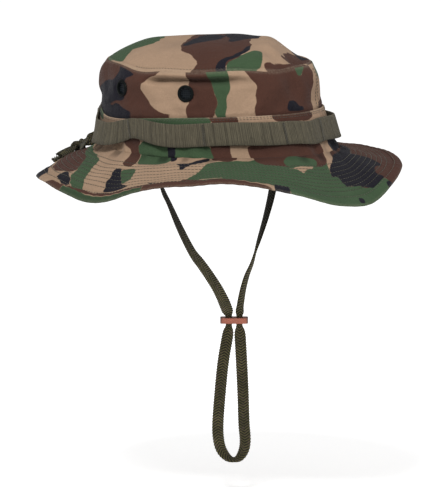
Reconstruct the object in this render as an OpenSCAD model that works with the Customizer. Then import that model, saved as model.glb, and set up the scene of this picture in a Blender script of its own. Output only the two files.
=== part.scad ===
// Boonie hat: soft domed crown, wavy stitched brim, loop webbing round the crown and a chin cord with a slider.
// Origin: centre of the head opening, in the plane of the crown to brim seam. +Z up, -Y is the front of the
// hat, -X is the wearer's right. All lengths are in millimetres, all angles in degrees.
// The angle t goes round the hat: 0 is the front, 90 the wearer's right, 180 the back.

/* [Crown] */
// Half length of the crown at the brim seam, front to back
crown_a = 106; // [102:1:110]
// Half width of the crown at the brim seam, side to side
crown_b = 88; // [85:1:92]
// Rise of the tip panel above its seam
dome_h = 18; // [14:1:22]
// Thickness of the crown cloth
cloth_t = 0.8; // [0.6:0.1:0.9]

/* [Brim] */
// Level reach of the brim beyond the crown seam
brim_reach = 50; // [46:1:54]
// How deep the waves of the brim hang, as a share of the usual depth
brim_drop = 1; // [0.8:0.1:1.2]

/* [Webbing] */
// Width of the loop webbing
web_w = 19; // [17:1:20]
// Thickness of the loop webbing
web_t = 1.4; // [1.2:0.1:1.6]

/* [Vents] */
// Outer radius of a vent eyelet's flange
vent_r = 7; // [6:0.5:7.5]
// Distance of each vent in front of or behind the middle of the crown
vent_f = 33; // [30:1:36]

/* [Chin cord] */
// Width of the flat braided cord
cord_w = 9.5; // [8:0.5:10]
// Thickness of the flat braided cord
cord_t = 2; // [1.6:0.1:2.2]
// Length of the leather slider
slider_l = 23; // [21:1:25]
// Height of the leather slider along the cord
slider_h = 4.5; // [3.5:0.5:5]

/* [Hidden] */

// Seam angles of the two side panels: just off the centre front, and opposite
seam_t = -16;
seam_gap = 0.2;
// Crown levels: foot of the wall, top of the self-fabric band, seam of the tip panel
foot_z = 1;
band_z = 36;
tip_z = 72;
// Size of the crown's outline by height, as a share of its size at the brim seam
crown_k = [[0, 1], [12, 0.95], [36, 0.91], [60, 0.9], [66, 0.885], [72, 0.845]];
// How far the outline has moved back by each height
crown_lean = [[0, 0], [12, 3], [36, 7], [72, 9]];
// Roundness of the tip panel
dome_p = 3.2;
// Height of the brim's rim by angle
rim_z = [[-195, -28], [-180, -27], [-165, -20], [-150, -14], [-120, -12], [-90, -8], [-60, -8], [-35, -10],
  [-20, -15], [-10, -27], [0, -35], [8, -36], [20, -28], [30, -22], [45, -13], [60, -12], [75, -17],
  [85, -23], [97, -33.5], [110, -28], [120, -25], [135, -22], [150, -24], [165, -28], [180, -27], [195, -20]];
// Levels of the rows of facets of everything that lies on the wall
levels = [1, 4.5, 8, 12, 20, 28, 36, 44, 52, 60, 66, 71.6];
// Offsets of the layers from the outer face of the wall, outwards
band_d = [0.3, 1];
sweat_d = [-2.6, -1.4];
sweat_z = [1.5, 32];
web_d = 1.3;
web_z = 12.5;
// Levels of the brim's plies below its upper face
top_h = [0, -0.7];
mid_h = [-1, -1.9];
low_h = [-2.2, -2.9];
// Where the webbing is sewn down, how far it stands off between each tack and the next, and how much
// further its lower edge stands off than its middle, as a share
tacks = [-8, 20, 62, 103, 150, 184, 226, 268, 310, 352];
stand = [1.5, 2, 2, 7, 2.5, 2.5, 2.5, 2.5, 7.5];
slant = [0, 0, 0, 0.3, 0, 0, 0, 0, 0];
// Share of each span, at either end, over which the webbing still lies flat
tack_flat = 0.1;
// Roundness of each webbing loop, and size of a bar tack
loop_p = 1.2;
tack = [4.4, 1, 0.5];
tack_lift = 0.3;
// Vents and cord holes
vent_z = 52.5;
vent_hole = 5.6;
cord_hole = 4.7;
cord_z = 6.5;
cord_at = 150;
step_t = 6;

// Route points of the cords: x, y, z and the direction of the cord's width as [angle round Z, tilt above level]
back_right = [[-80.8, 1.6, 1, 90, 0], [-81, 2.6, 3.6, 96, -28], [-80.6, 6.2, 5.4, 122, -60],
  [-80, 12, 5.5, 168, -70], [-78, 27, 5.5, 164, -70], [-73, 43.2, 5.5, 153, -70],
  [-65.8, 58, 5.5, 143, -70], [-56.6, 71, 5.4, 132, -70], [-50.4, 77, 5.2, 126, -74],
  [-45.2, 79.8, 5, 125, -82], [-40.8, 81, 4.9, 125, -86], [-37.6, 82.8, 4.9, 125, -88],
  [-37.2, 85.2, 5, 125, -86], [-39.4, 87, 5.4, 125, -82], [-42.8, 91, 6.5, 125, -78],
  [-45.2, 94.4, 7.2, 125, -80], [-47.8, 97.6, 5.6, 160, -84], [-48.4, 102, 2.6, 220, -76],
  [-45, 107.6, 0.4, 224, -70], [-40.6, 112.8, -0.4, 240, -60], [-37, 116.6, -0.4, 240, -60]];
back_left = [[80.8, 1.6, 1, 90, 0], [81, 2.6, 3.6, 84, -28], [80.6, 6.2, 5.4, 58, -60],
  [80, 12, 5.5, 12, -70], [78, 27, 5.5, 16, -70], [73, 43.2, 5.5, 27, -70], [65.8, 58, 5.5, 37, -70],
  [56.6, 71, 5.4, 48, -70], [50.4, 77, 5.2, 54, -74], [45.2, 79.8, 5, 55, -82], [40.8, 81, 4.9, 55, -86],
  [37.6, 82.8, 4.9, 55, -88], [37.2, 85.2, 5, 55, -86], [39.4, 87, 5.4, 55, -82], [42.8, 91, 6.5, 55, -78],
  [45.2, 94.4, 7.2, 55, -80], [45.8, 98.4, 7.4, 80, -84], [42.4, 101.8, 7.2, 220, -89],
  [34, 104.8, 6.8, 220, -90], [22, 107, 6.4, 220, -90], [8, 108.8, 6, 220, -90], [-6, 110.8, 5, 220, -84],
  [-19, 113.6, 3, 220, -74], [-30.4, 117.4, 0.8, 220, -62]];
tail_right = [[-35.6, 125, -1.6, 220, -60], [-39.4, 129.4, -5, 214, -58], [-43.6, 132.6, -8.4, 208, -55],
  [-48, 135.2, -11.8, 200, -50]];
tail_left = [[-38.9, 121.4, -2.2, 250, -60], [-44, 122.6, -4.2, 250, -60], [-49.2, 123.2, -6.4, 256, -58],
  [-54.4, 123.2, -8.6, 262, -55]];
knot_at = [-34, 120.5, -0.4];
knot_r = 5.4;
// Number of the route point that lies in the eyelet, for a cord that goes through one, and the share of its
// width that the cord gives up there
through = 14;
no_hole = -9;
hole_squeeze = 0.35;
// The slider stands in the upright plane that holds both limbs of the loop
slide_at = [21, 0, -146];
slide_dir = -52;
chin_right = [[-80.8, 1.6, -1, 90, 0], [-80.6, 1.6, -6, 80, 0], [-78, 1.3, -16, 52, 0],
  [-72, 0.6, -29, 27, 0], [-65, 0, -40, 24, 0], [-51.4, 0, -61, 12, 0], [-35, 0, -83, 6, 0],
  [-23.4, 0, -94, 0, 0], [-12, 0, -105.4, -5, 0], [-2, 0, -116.4, -10, 0], [6.6, 0.6, -127, -22, 0],
  [13, 1.9, -135, -44, 0], [17.6, 3.2, -141.6, -52, 0], [18.3, 3.5, -145.8, -52, 0]];
chin_left = [[80.8, 1.6, -1, 90, 0], [80.6, 1.6, -8, 88, 0], [78, 1.2, -26, 82, 0], [73, 0.6, -45, 76, 0],
  [64.4, 0, -64, 64, 0], [54.6, 0, -83, 50, 0], [49.7, 0, -92.3, 36, 0], [45, 0, -101.6, 24, 0],
  [38.3, 0, -111, 16, 0], [32.3, -1, -120.4, 12, 0], [27.3, -2.4, -130, 2, 0], [25.1, -3, -136, -30, 0],
  [23.9, -3.4, -141.8, -52, 0], [23.7, -3.5, -145.8, -52, 0]];
// The loop: distance from the slider's middle along its length, height, and direction of the cord's width as
// [turn out of that upright plane, tilt above level]
loop_route = [[-4.4, -146.2, 0, 0], [-4.4, -151, 0, -4], [-5.2, -158, 0, -9], [-9, -181, 0, -7],
  [-11.6, -207, 0, -5], [-13.4, -232, 6, -2], [-13, -245, 16, 7], [-10.6, -254.5, 30, 22],
  [-5.6, -261, 57, 33], [-0.3, -263.2, 90, 35], [4.6, -261, 126, 29], [8.2, -254.5, 151, 15],
  [9.2, -246, 164, 0], [8.2, -232, 174, -3], [7.4, -207, 180, -2], [6.2, -181, 180, -3],
  [4.9, -158, 180, -3], [4.4, -151, 180, -2], [4.4, -146.2, 180, 0]];

// Unit vector out of the wall at angle t, as [towards the wearer's right, towards the front]
function out_dir(t) = let (m = norm([crown_a * sin(t), crown_b * cos(t)]))
  [crown_a * sin(t) / m, crown_b * cos(t) / m];

// Point at angle t and height z, d outside the crown's outer face
function wall(t, z, d) = let (k = lookup(z, crown_k), n = out_dir(t))
  [-(crown_b * k * sin(t) + d * n[0]), -(crown_a * k * cos(t) + d * n[1]) + lookup(z, crown_lean), z];

// Point of the tip panel: s is 1 at its seam and 0 at the middle
function dome(t, s, d) = let (k = lookup(tip_z, crown_k) * s, back = lookup(tip_z, crown_lean))
  [-(crown_b * k - d) * sin(t), -(crown_a * k - d) * cos(t) + back, tip_z + dome_h * (1 - pow(s, dome_p)) - d];

// Height of the rim, smoothed over neighbouring angles
function rim(t) = let (u = t > 180 ? t - 360 : t)
  brim_drop * (lookup(u - 8, rim_z) + lookup(u - 4, rim_z) + lookup(u, rim_z)
    + lookup(u + 4, rim_z) + lookup(u + 8, rim_z)) / 5;

// Point of the brim: v is 0 at the crown seam and 1 at the rim, h above the upper face
function brim(t, v, h) = let (n = out_dir(t), w = brim_reach * v)
  [-(crown_b * sin(t) + w * n[0]), -(crown_a * cos(t) + w * n[1]), rim(t) * (0.75 * v + 0.25 * v * abs(v)) + h];

// Number of the webbing's span at angle t
function span_at(t) = max([for (j = [0:len(stand) - 1]) if (t >= tacks[j]) j]);

// How far the webbing stands off the wall at angle t; q is 0 at its lower edge and 1 at its upper one
function gap_at(t, q) = let (u = t < tacks[0] ? t + 360 : t, i = span_at(u),
    s = (u - tacks[i]) / (tacks[i + 1] - tacks[i]),
    free = min(1, max(0, (s - tack_flat) / (1 - 2 * tack_flat))))
  (1 + slant[i] * (1 - 2 * q)) * stand[i] * pow(sin(180 * free), loop_p);

function reversed(list) = [for (i = [len(list) - 1:-1:0]) list[i]];
function pair(a, b) = concat(a, reversed(b));

// Closed solid through equal sections. Each section is one edge line and then the other, reversed.
module skin(sections, wrap) {
  m = len(sections[0]);
  n = len(sections);
  half = m / 2;
  last = (n - 1) * m;
  body = [for (i = [0:(wrap ? n - 1 : n - 2)], j = [0:m - 1])
    let (k = (i + 1) % n, l = (j + 1) % m)
      each [[i * m + j, i * m + l, k * m + l], [i * m + j, k * m + l, k * m + j]]];
  ends = wrap ? [] : [for (j = [0:half - 2]) each [
    [j, m - 2 - j, j + 1], [j, m - 1 - j, m - 2 - j],
    [last + j, last + j + 1, last + m - 2 - j], [last + j, last + m - 2 - j, last + m - 1 - j]]];
  polyhedron(points = [for (s = sections) each s], faces = concat(body, ends));
}

// A strip of the wall between two levels and two offsets
function wall_section(t, z0, z1, d0, d1) =
  let (rows = concat([z0], [for (z = levels) if (z > z0 && z < z1) z], [z1]))
  pair([for (z = rows) wall(t, z, d1)], [for (z = rows) wall(t, z, d0)]);

module wall_ring(z0, z1, d0, d1) {
  skin([for (t = [seam_t:step_t:seam_t + 359]) wall_section(t, z0, z1, d0, d1)], true);
}

module brim_ring(v0, v1, rows, h) {
  skin([for (t = [0:step_t:360 - step_t]) pair(
    [for (i = [rows:-1:0]) brim(t, v0 + (v1 - v0) * i / rows, h[0])],
    [for (i = [rows:-1:0]) brim(t, v0 + (v1 - v0) * i / rows, h[1])])], true);
}

// How far the wall leans in at a place, as an angle
function slope_at(t, z) = let (n = out_dir(t), rise = wall(t, z + 1, 0) - wall(t, z - 1, 0))
  atan((rise * [n[0], n[1], 0]) / 2);

// Places its child on the wall with +Z out of the cloth, raised by tilt where the wall flares
module on_wall(t, z, tilt = 0) {
  n = out_dir(t);
  translate(wall(t, z, 0)) rotate([0, 0, atan2(-n[1], -n[0])]) rotate([0, 90 - tilt, 0]) children();
}

// Vent number to angle: right front, right back, left front, left back
vent_t = acos(vent_f / (crown_a * 0.905));
function vent_angle(i) = [vent_t, 180 - vent_t, -vent_t, vent_t - 180][i];

module vent_holes(side) {
  for (i = [0, 1]) on_wall(vent_angle(2 * side + i), vent_z) translate([0, 0, -8])
    cylinder(r = vent_hole, h = 16, $fn = 36);
}

module cord_opening(side) {
  t = side == 0 ? cord_at : -cord_at;
  on_wall(t, cord_z, slope_at(t, cord_z)) translate([0, 0, -10]) cylinder(r = cord_hole, h = 20, $fn = 36);
}

module side_panel(side) {
  turn = side * 180;
  span = 180 - 2 * seam_gap;
  difference() {
    skin([for (i = [0:30]) wall_section(seam_t + turn + seam_gap + span * i / 30, foot_z, tip_z - 0.4,
      -cloth_t, 0)], false);
    vent_holes(side);
    cord_opening(side);
  }
}

module crown_side_right() color("darkolivegreen") side_panel(0);
module crown_side_left() color("darkolivegreen") side_panel(1);

// The tip panel is a ring of the dome closed by a fan over its middle, on both faces
module crown_top() color("olivedrab") {
  cols = 60;
  rows = 7;
  low = 0.12;
  outer = [for (i = [0:rows], j = [0:cols - 1]) dome(j * 360 / cols, 1 - (1 - low) * i / rows, 0)];
  inner = [for (i = [0:rows], j = [0:cols - 1]) dome(j * 360 / cols, 1 - (1 - low) * i / rows, cloth_t)];
  n = len(outer);
  shell = [for (i = [0:rows - 1], j = [0:cols - 1])
    let (a = i * cols + j, b = i * cols + (j + 1) % cols, c = a + cols, d = b + cols)
      each [[a, b, d], [a, d, c], [n + a, n + d, n + b], [n + a, n + c, n + d]]];
  edge = [for (j = [0:cols - 1]) let (b = (j + 1) % cols) each [[j, n + b, b], [j, n + j, n + b]]];
  cap = [for (j = [0:cols - 1]) let (a = rows * cols + j, b = rows * cols + (j + 1) % cols)
    each [[a, b, 2 * n], [n + a, 2 * n + 1, n + b]]];
  polyhedron(points = concat(outer, inner, [dome(0, 0, 0) , dome(0, 0, 0) - [0, 0, cloth_t]]),
    faces = concat(shell, edge, cap));
}

// Self-fabric strip over the foot of the wall, behind the webbing
module crown_band() color("sienna") difference() {
  wall_ring(2, band_z, band_d[0], band_d[1]);
  cord_opening(0);
  cord_opening(1);
}

module sweatband() color("dimgray") difference() {
  wall_ring(sweat_z[0], sweat_z[1], sweat_d[0], sweat_d[1]);
  cord_opening(0);
  cord_opening(1);
}

module brim_top_ply() color("olive") brim_ring(-0.03, 0.975, 6, top_h);
module brim_interlining() color("ivory") brim_ring(-0.03, 0.975, 6, mid_h);
module brim_bottom_ply() color("olive") brim_ring(-0.03, 0.975, 6, low_h);

// Folded hem: a channel that wraps the rim from the upper face round to the lower one
module brim_binding() color("saddlebrown") skin([for (t = [0:step_t:360 - step_t]) pair(
  [brim(t, 0.85, -3.8), brim(t, 0.93, -3.8), brim(t, 1, -3.6), brim(t, 1.03, -1.5),
    brim(t, 1, 0.7), brim(t, 0.93, 0.8), brim(t, 0.85, 0.8)],
  [brim(t, 0.85, -3.2), brim(t, 0.93, -3.2), brim(t, 0.985, -3.2), brim(t, 0.99, -1.5),
    brim(t, 0.985, 0.3), brim(t, 0.93, 0.3), brim(t, 0.85, 0.3)])], true);

// Webbing sewn round the crown, standing off as loops between its tacks
function web_line(t, d) = [for (i = [0:4]) let (q = i / 4)
  wall(t, web_z + web_w * q, d + gap_at(t, q))];
module webbing_band() color("darkkhaki")
  skin([for (t = [0:4:356]) pair(web_line(t, web_d + web_t), web_line(t, web_d))], true);

// Upright rows of bar tacks through the webbing at each place where it is sewn down
module webbing_tacks() color("black")
  for (i = [0:len(tacks) - 2], q = [0.15, 0.5, 0.85]) let (z = web_z + web_w * q)
    on_wall(tacks[i], z, slope_at(tacks[i], z))
      translate([-tack[0] / 2, -tack[1] / 2, web_d + web_t + tack_lift]) cube(tack);

// Rolled metal eyelet: flange outside the cloth and a barrel through it
module eyelet(outer, hole, out_d, in_d) {
  rotate_extrude($fn = 48) polygon([[hole - 0.6, in_d], [hole, in_d], [hole, out_d], [outer - 0.3, out_d],
    [outer, out_d + 0.3], [outer - 0.6, out_d + 1], [hole, out_d + 1.3], [hole - 0.6, out_d + 0.8]]);
}

module ring_washer(outer, inner, z0, h) {
  translate([0, 0, z0]) difference() {
    cylinder(r = outer, h = h, $fn = 48);
    translate([0, 0, -1]) cylinder(r = inner, h = h + 2, $fn = 48);
  }
}

module vent_eyelet(i) color("black") on_wall(vent_angle(i), vent_z) eyelet(vent_r, 5.3, 0.3, -3.4);
module vent_washer(i) color("dimgray") on_wall(vent_angle(i), vent_z) ring_washer(vent_r + 0.5, 5.4, -2.9, 0.7);

// Perforated screen inside the barrel
module vent_screen(i) color("black") on_wall(vent_angle(i), vent_z) translate([0, 0, -1]) difference() {
  cylinder(r = 4.6, h = 0.5, $fn = 40);
  for (x = [-2:2], y = [-2:2]) if (x * x + y * y < 7)
    translate([1.7 * x - 0.55, 1.7 * y - 0.55, -1]) cube([1.1, 1.1, 3]);
}

module vent_eyelet_rf() vent_eyelet(0);
module vent_eyelet_rb() vent_eyelet(1);
module vent_eyelet_lf() vent_eyelet(2);
module vent_eyelet_lb() vent_eyelet(3);
module vent_washer_rf() vent_washer(0);
module vent_washer_rb() vent_washer(1);
module vent_washer_lf() vent_washer(2);
module vent_washer_lb() vent_washer(3);
module vent_screen_rf() vent_screen(0);
module vent_screen_rb() vent_screen(1);
module vent_screen_lf() vent_screen(2);
module vent_screen_lb() vent_screen(3);

module cord_eyelet(t) color("black") on_wall(t, cord_z, slope_at(t, cord_z)) eyelet(5.7, 4.5, 1.4, -4);
module cord_washer(t) color("dimgray") on_wall(t, cord_z, slope_at(t, cord_z)) ring_washer(5.4, 4.6, -3.7, 0.7);
module cord_eyelet_right() cord_eyelet(cord_at);
module cord_eyelet_left() cord_eyelet(-cord_at);
module cord_washer_right() cord_washer(cord_at);
module cord_washer_left() cord_washer(-cord_at);

// Smooth point at s along a list of route points
function at(p, s) = let (i = min(floor(s), len(p) - 2), f = s - i, a = p[max(i - 1, 0)], b = p[i],
    c = p[i + 1], d = p[min(i + 2, len(p) - 1)])
  0.5 * (2 * b + (c - a) * f + (2 * a - 5 * b + 4 * c - d) * f * f + (3 * b - a - 3 * c + d) * f * f * f);
function unit(v) = v / norm(v);
function xyz(p) = [p[0], p[1], p[2]];

// One flat section: the width lies near the direction asked for, square to the cord's run
function flat_section(p, run, angle, tilt, w, t) = let (
    ask = [cos(angle) * cos(tilt), sin(angle) * cos(tilt), sin(tilt)],
    side = unit(ask - run * (ask * run)), up = cross(run, side))
  [for (q = [[0.5, 0.2], [0.36, 0.5], [-0.36, 0.5], [-0.5, 0.2], [-0.5, -0.2], [-0.36, -0.5], [0.36, -0.5],
    [0.5, -0.2]]) p + side * q[0] * w + up * q[1] * t];

// Flat cord along a route. It is narrowed to a share of its width near the first and the last point, and
// near the point numbered mid, where it goes through a hole.
function near(s, at, hold) = max(0, min(1, 1 - (abs(s - at) - hold) / 2));
function width_at(s, n, first, last, mid) = cord_w * (1 - (1 - first) * near(s, 0, 1)
  - (1 - last) * near(n - s, 0, 1) - hole_squeeze * near(s, mid, 1.5));
module flat_cord(p, first, last, mid = no_hole) {
  n = len(p) - 1;
  skin([for (i = [0:3 * n]) let (s = i / 3, q = at(p, s), e = 0.02,
      run = unit(xyz(at(p, min(s + e, n))) - xyz(at(p, max(s - e, 0)))))
    flat_section(xyz(q), run, q[3], q[4], width_at(s, n, first, last, mid), cord_t)], false);
}

module cord_back_right() color("darkolivegreen") flat_cord(back_right, 0.68, 0.7, through);
module cord_back_left() color("darkolivegreen") flat_cord(back_left, 0.68, 0.7, through);
module cord_tail_right() color("darkolivegreen") flat_cord(tail_right, 0.6, 1);
module cord_tail_left() color("darkolivegreen") flat_cord(tail_left, 0.6, 1);
module cord_knot() color("darkolivegreen") translate(knot_at) sphere(r = knot_r, $fn = 40);
module chin_strand_right() color("darkolivegreen") flat_cord(chin_right, 0.68, 0.55);
module chin_strand_left() color("darkolivegreen") flat_cord(chin_left, 0.68, 0.55);

// The loop's points in the slider's plane, turned into space
loop_points = [for (q = loop_route) [slide_at[0] + q[0] * cos(slide_dir), slide_at[1] + q[0] * sin(slide_dir),
  q[1], slide_dir + q[2], q[3]]];
module chin_loop() color("darkolivegreen") flat_cord(loop_points, 0.55, 0.55);

// Leather slider with a slot for each limb of the cord
slot_gap = 4.4;
slot_half = 1.7;
slot_run = 1.6;
module slider() color("sienna") translate(slide_at) rotate([0, 0, slide_dir]) difference() {
  hull() for (x = [-1, 1], y = [-1, 1]) translate([x * (slider_l / 2 - 2.5), y * 3.5, -slider_h / 2])
    cylinder(r = 2.5, h = slider_h, $fn = 32);
  for (x = [-slot_gap, slot_gap]) hull() for (e = [-1, 1])
    translate([x + e * slot_run, 0, -slider_h]) cylinder(r = slot_half, h = 2 * slider_h, $fn = 32);
}

crown_top();
crown_side_right();
crown_side_left();
crown_band();
sweatband();
brim_top_ply();
brim_interlining();
brim_bottom_ply();
brim_binding();
webbing_band();
webbing_tacks();
vent_eyelet_rf();
vent_eyelet_rb();
vent_eyelet_lf();
vent_eyelet_lb();
vent_washer_rf();
vent_washer_rb();
vent_washer_lf();
vent_washer_lb();
vent_screen_rf();
vent_screen_rb();
vent_screen_lf();
vent_screen_lb();
cord_eyelet_right();
cord_eyelet_left();
cord_washer_right();
cord_washer_left();
cord_back_right();
cord_back_left();
cord_tail_right();
cord_tail_left();
cord_knot();
chin_strand_right();
chin_strand_left();
chin_loop();
slider();
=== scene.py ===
import bpy
import math
import numpy as np
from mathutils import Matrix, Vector


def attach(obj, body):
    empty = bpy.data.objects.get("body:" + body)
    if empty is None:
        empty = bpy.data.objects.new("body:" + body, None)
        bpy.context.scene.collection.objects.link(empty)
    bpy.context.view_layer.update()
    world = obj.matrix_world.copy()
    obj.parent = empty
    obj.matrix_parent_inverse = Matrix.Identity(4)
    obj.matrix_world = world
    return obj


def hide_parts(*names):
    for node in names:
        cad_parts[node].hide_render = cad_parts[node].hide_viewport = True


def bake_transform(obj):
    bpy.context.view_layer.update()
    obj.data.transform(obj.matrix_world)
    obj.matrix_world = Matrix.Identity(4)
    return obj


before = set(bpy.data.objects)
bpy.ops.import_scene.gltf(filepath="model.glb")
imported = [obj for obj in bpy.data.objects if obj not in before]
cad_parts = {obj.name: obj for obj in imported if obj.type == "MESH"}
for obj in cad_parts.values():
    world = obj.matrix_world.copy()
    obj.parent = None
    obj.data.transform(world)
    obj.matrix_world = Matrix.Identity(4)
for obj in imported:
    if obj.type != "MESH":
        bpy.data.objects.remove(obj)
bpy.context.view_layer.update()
MM = 0.001

# ---------------------------------------------------------------- shape of the hat, in millimetres
CROWN_A, CROWN_B = 106.0, 88.0
DOME_H, DOME_P, TIP_Z, TIP_K = 18.0, 3.2, 72.0, 0.845
BRIM_W = 50.0
CROWN_K = [[0, 1], [12, 0.95], [36, 0.91], [60, 0.9], [66, 0.885], [72, 0.845]]
CROWN_LEAN = [[0, 0], [12, 3], [36, 7], [72, 9]]
RIM_Z = [[-195, -28], [-180, -27], [-165, -20], [-150, -14], [-120, -12], [-90, -8], [-60, -8], [-35, -10],
         [-20, -15], [-10, -27], [0, -35], [8, -36], [20, -28], [30, -22], [45, -13], [60, -12], [75, -17],
         [85, -23], [97, -33.5], [110, -28], [120, -25], [135, -22], [150, -24], [165, -28], [180, -27],
         [195, -20]]
SEAM_T = -16.0
BAND_Z = 36.0
VENT_Z = 52.5
VENT_T = math.degrees(math.acos(33 / (106 * 0.905)))
CORD_Z = 6.5
WALL_ARC, BRIM_ARC, HEM_ARC, WEB_ARC = 1.7, 2.1, 2.4, 1.72  # millimetres of cloth for each degree round
FRAME_HEIGHT = 399.34  # millimetres seen from the top to the bottom of the view
FLOOR_Z = -0.29  # metres, just under the hanging loop
SHADE_DISC_R, SHADE_DISC_SIDES = 4.5, 28
VIEW_AZ, VIEW_EL = -52.0, 8.0  # degrees, the photograph's view
TURN_C, TURN_S = 0.616, 0.788  # cosine and sine of 52 degrees, the turn of the tip's print
TACKS = [-8, 20, 62, 103, 150, 184, 226, 268, 310, 352]
STAND = [1.5, 2, 2, 5.5, 2.5, 2.5, 2.5, 2.5, 5.0]
SLANT = [0, 0, 0, 0.3, 0, 0, 0, 0, 0]
CORD_AT = 150
VENTS = [VENT_T, 180 - VENT_T, -VENT_T, VENT_T - 180]


def lookup(x, rows):
    rows = np.array(rows, float)
    return np.interp(x, rows[:, 0], rows[:, 1])


def soft_lookup(x, rows, reach):
    return sum(lookup(x + reach * o, rows) for o in (-1, -0.5, 0, 0.5, 1)) / 5


def wrap(t):
    return (np.asarray(t, float) + 180) % 360 - 180


def sincos(t):
    return np.sin(np.radians(t)), np.cos(np.radians(t))


def out_dir(t):
    s, c = sincos(t)
    m = np.hypot(CROWN_A * s, CROWN_B * c)
    return CROWN_A * s / m, CROWN_B * c / m


def smooth(a, b, x):
    q = np.clip((np.asarray(x, float) - a) / (b - a), 0, 1)
    return q * q * (3 - 2 * q)


def bump(x, centre, width):
    return np.exp(-((np.asarray(x, float) - centre) / width) ** 2)


def ripple(seed, scale_t, scale_z, count=14):
    """A smooth random field over (angle, height), periodic round the hat. About -1 to 1."""
    r = np.random.default_rng(seed)
    waves = [(round(r.uniform(0.3, 1) * 360 / scale_t) * r.choice([-1, 1]),
              r.uniform(0.3, 1) * 2 * math.pi / scale_z * r.choice([-1, 1]),
              r.uniform(0, 2 * math.pi)) for _ in range(count)]

    def field(t, z):
        return sum(np.cos(np.radians(n * t) + m * z + p) for n, m, p in waves) / math.sqrt(count)
    return field


crumple = ripple(11, 40, 45)
creases = ripple(12, 14, 30)
foot_folds = ripple(13, 9, 60)
brim_soft = ripple(14, 50, 3)
brim_fine = ripple(15, 12, 1.2)
tip_soft = ripple(16, 60, 60)


SEAM_DROP = [[-20, 0], [0, 0.3], [40, 1.0], [60, 2.2], [80, 3.8], [98, 6.2], [110, 8.6], [130, 9.2],
             [145, 4], [158, 0]]


def top_shift(u):
    """How far the crown's upper edge is pulled in, by angle."""
    return -1.5 * bump(u, 155, 18) - 2.0 * bump(u, -40, 22)


def seam_sag(u):
    """How far the tip seam hangs below its level, by angle."""
    return 4.0 * bump(u, 98, 13) + 2.2 * bump(u, 70, 18) + 2.2 * bump(u, 18, 13)


def band_drop(u):
    """How far the band and the webbing sag at the near rear loop."""
    return smooth(99, 122, u) * (1 - smooth(132, 149, u))


def seam_drop(u):
    """How far the seam over the band hangs below its level, by angle."""
    return soft_lookup(u, SEAM_DROP, 6.0)


def dent_span(u):
    """1 along the near side, where the cloth sags in below the tip seam."""
    return smooth(28, 52, u) * (1 - smooth(86, 97, u))


def wall_shape(t, z):
    """How far the cloth of the wall stands out of its plain shape."""
    u = wrap(t)
    dent = dent_span(u) * (-5.6 * bump(z, 63.4, 3.0) + 1.8 * bump(z, 69.0, 2.4))
    valley = 1.2 * bump(u, 118, 10) * bump(z, 47 + 0.25 * (u - 118), 5)
    seam = -0.5 * bump(wrap(t - SEAM_T), 0, 0.7) - 0.5 * bump(wrap(t - SEAM_T - 180), 0, 0.7)
    body = smooth(36, 44, z)
    rest = body * (1.3 * crumple(t, z) + 0.7 * creases(t, z) + top_shift(u) * smooth(44, 68, z)
                   + bump(u, 155, 18) * bump(z, 48, 6) - 3.5 * bump(u, -40, 20) * bump(z, 46, 13))
    tuck = -0.7 * bump(z + seam_drop(u), 36.6, 1.2)
    foot = (1 - smooth(4, 14, z)) * (1.1 * foot_folds(t, z) + 1.0 * crumple(t, z)) * smooth(0, 3, z)
    tip = -0.3 * bump(z, 71.6, 0.8)
    return dent - valley + seam + rest * (1 - 0.6 * smooth(66, 72, z)) + tuck + foot + tip


def calm(t, z):
    """1 away from the eyelets, 0 at them: the cloth is flat under each metal ring."""
    flat = np.ones(np.broadcast(t, z).shape)
    for vt, vz, r in [(v, VENT_Z, 11) for v in VENTS] + [(CORD_AT, CORD_Z, 9), (-CORD_AT, CORD_Z, 9)]:
        gap = np.hypot(wrap(t - vt) * WALL_ARC, z - vz)
        flat = np.minimum(flat, smooth(r * 0.6, r * 1.2, gap))
    return flat


def wall(t, z, d=0.0):
    s, c = sincos(t)
    k = soft_lookup(z, CROWN_K, 3.0)
    nr, nf = out_dir(t)
    d = d + wall_shape(t, z) * calm(t, z)
    sag = seam_sag(wrap(t)) * smooth(48, 71, z)
    return np.stack(np.broadcast_arrays(-(CROWN_B * k * s + d * nr), -(CROWN_A * k * c + d * nf)
                                        + soft_lookup(z, CROWN_LEAN, 3.0), z - sag), -1)


def rim(t):
    u = wrap(t)
    return sum(lookup(u + o, RIM_Z) for o in (-8, -4, 0, 4, 8)) / 5


ROWS = [0.175 + 0.0835 * i for i in range(8)]
HEM_V, HEM_STITCH = 0.865, 0.885
LOW_FACE = -1.7
PLY_V0, PLY_V1 = -0.016, 0.975
ROOT = 2.6


# How far the worn edge of the brim has curled up out of its cut shape, by angle
RIM_LIFT = [[-30, 0], [-18, 1.9], [-6, 1.8], [4, 1.1], [16, 1.9], [24, 2.4], [32, 3.9], [40, 4.4], [48, 4.0],
            [55, 2], [62, 0.8], [80, 0.2], [90, -1.5], [100, -1.6], [110, -0.5], [120, 0]]


def puff(v):
    """Quilting: the brim is pinched at each row of stitches."""
    pinch = sum(bump(v, r, 0.011) for r in ROWS) + 0.6 * bump(v, HEM_STITCH, 0.011)
    return -0.5 * pinch


def brim_shape(t, v):
    u = wrap(t)
    lift = soft_lookup(u, RIM_LIFT, 3.0) * np.maximum(v, 0) ** 2
    wave = 0.9 * brim_soft(t, 3 * v) * smooth(0.05, 0.5, v) + 0.3 * brim_fine(t, v) * smooth(0, 0.2, v)
    near = 1.6 * bump(u, 60, 26) * bump(v, 0.3, 0.16) - 1.4 * bump(u, 84, 12) * bump(v, 0.12, 0.12)
    return wave + near + lift + 0.6 * (1 - smooth(0.0, 0.16, v)) * foot_folds(t, 3.0)


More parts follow.
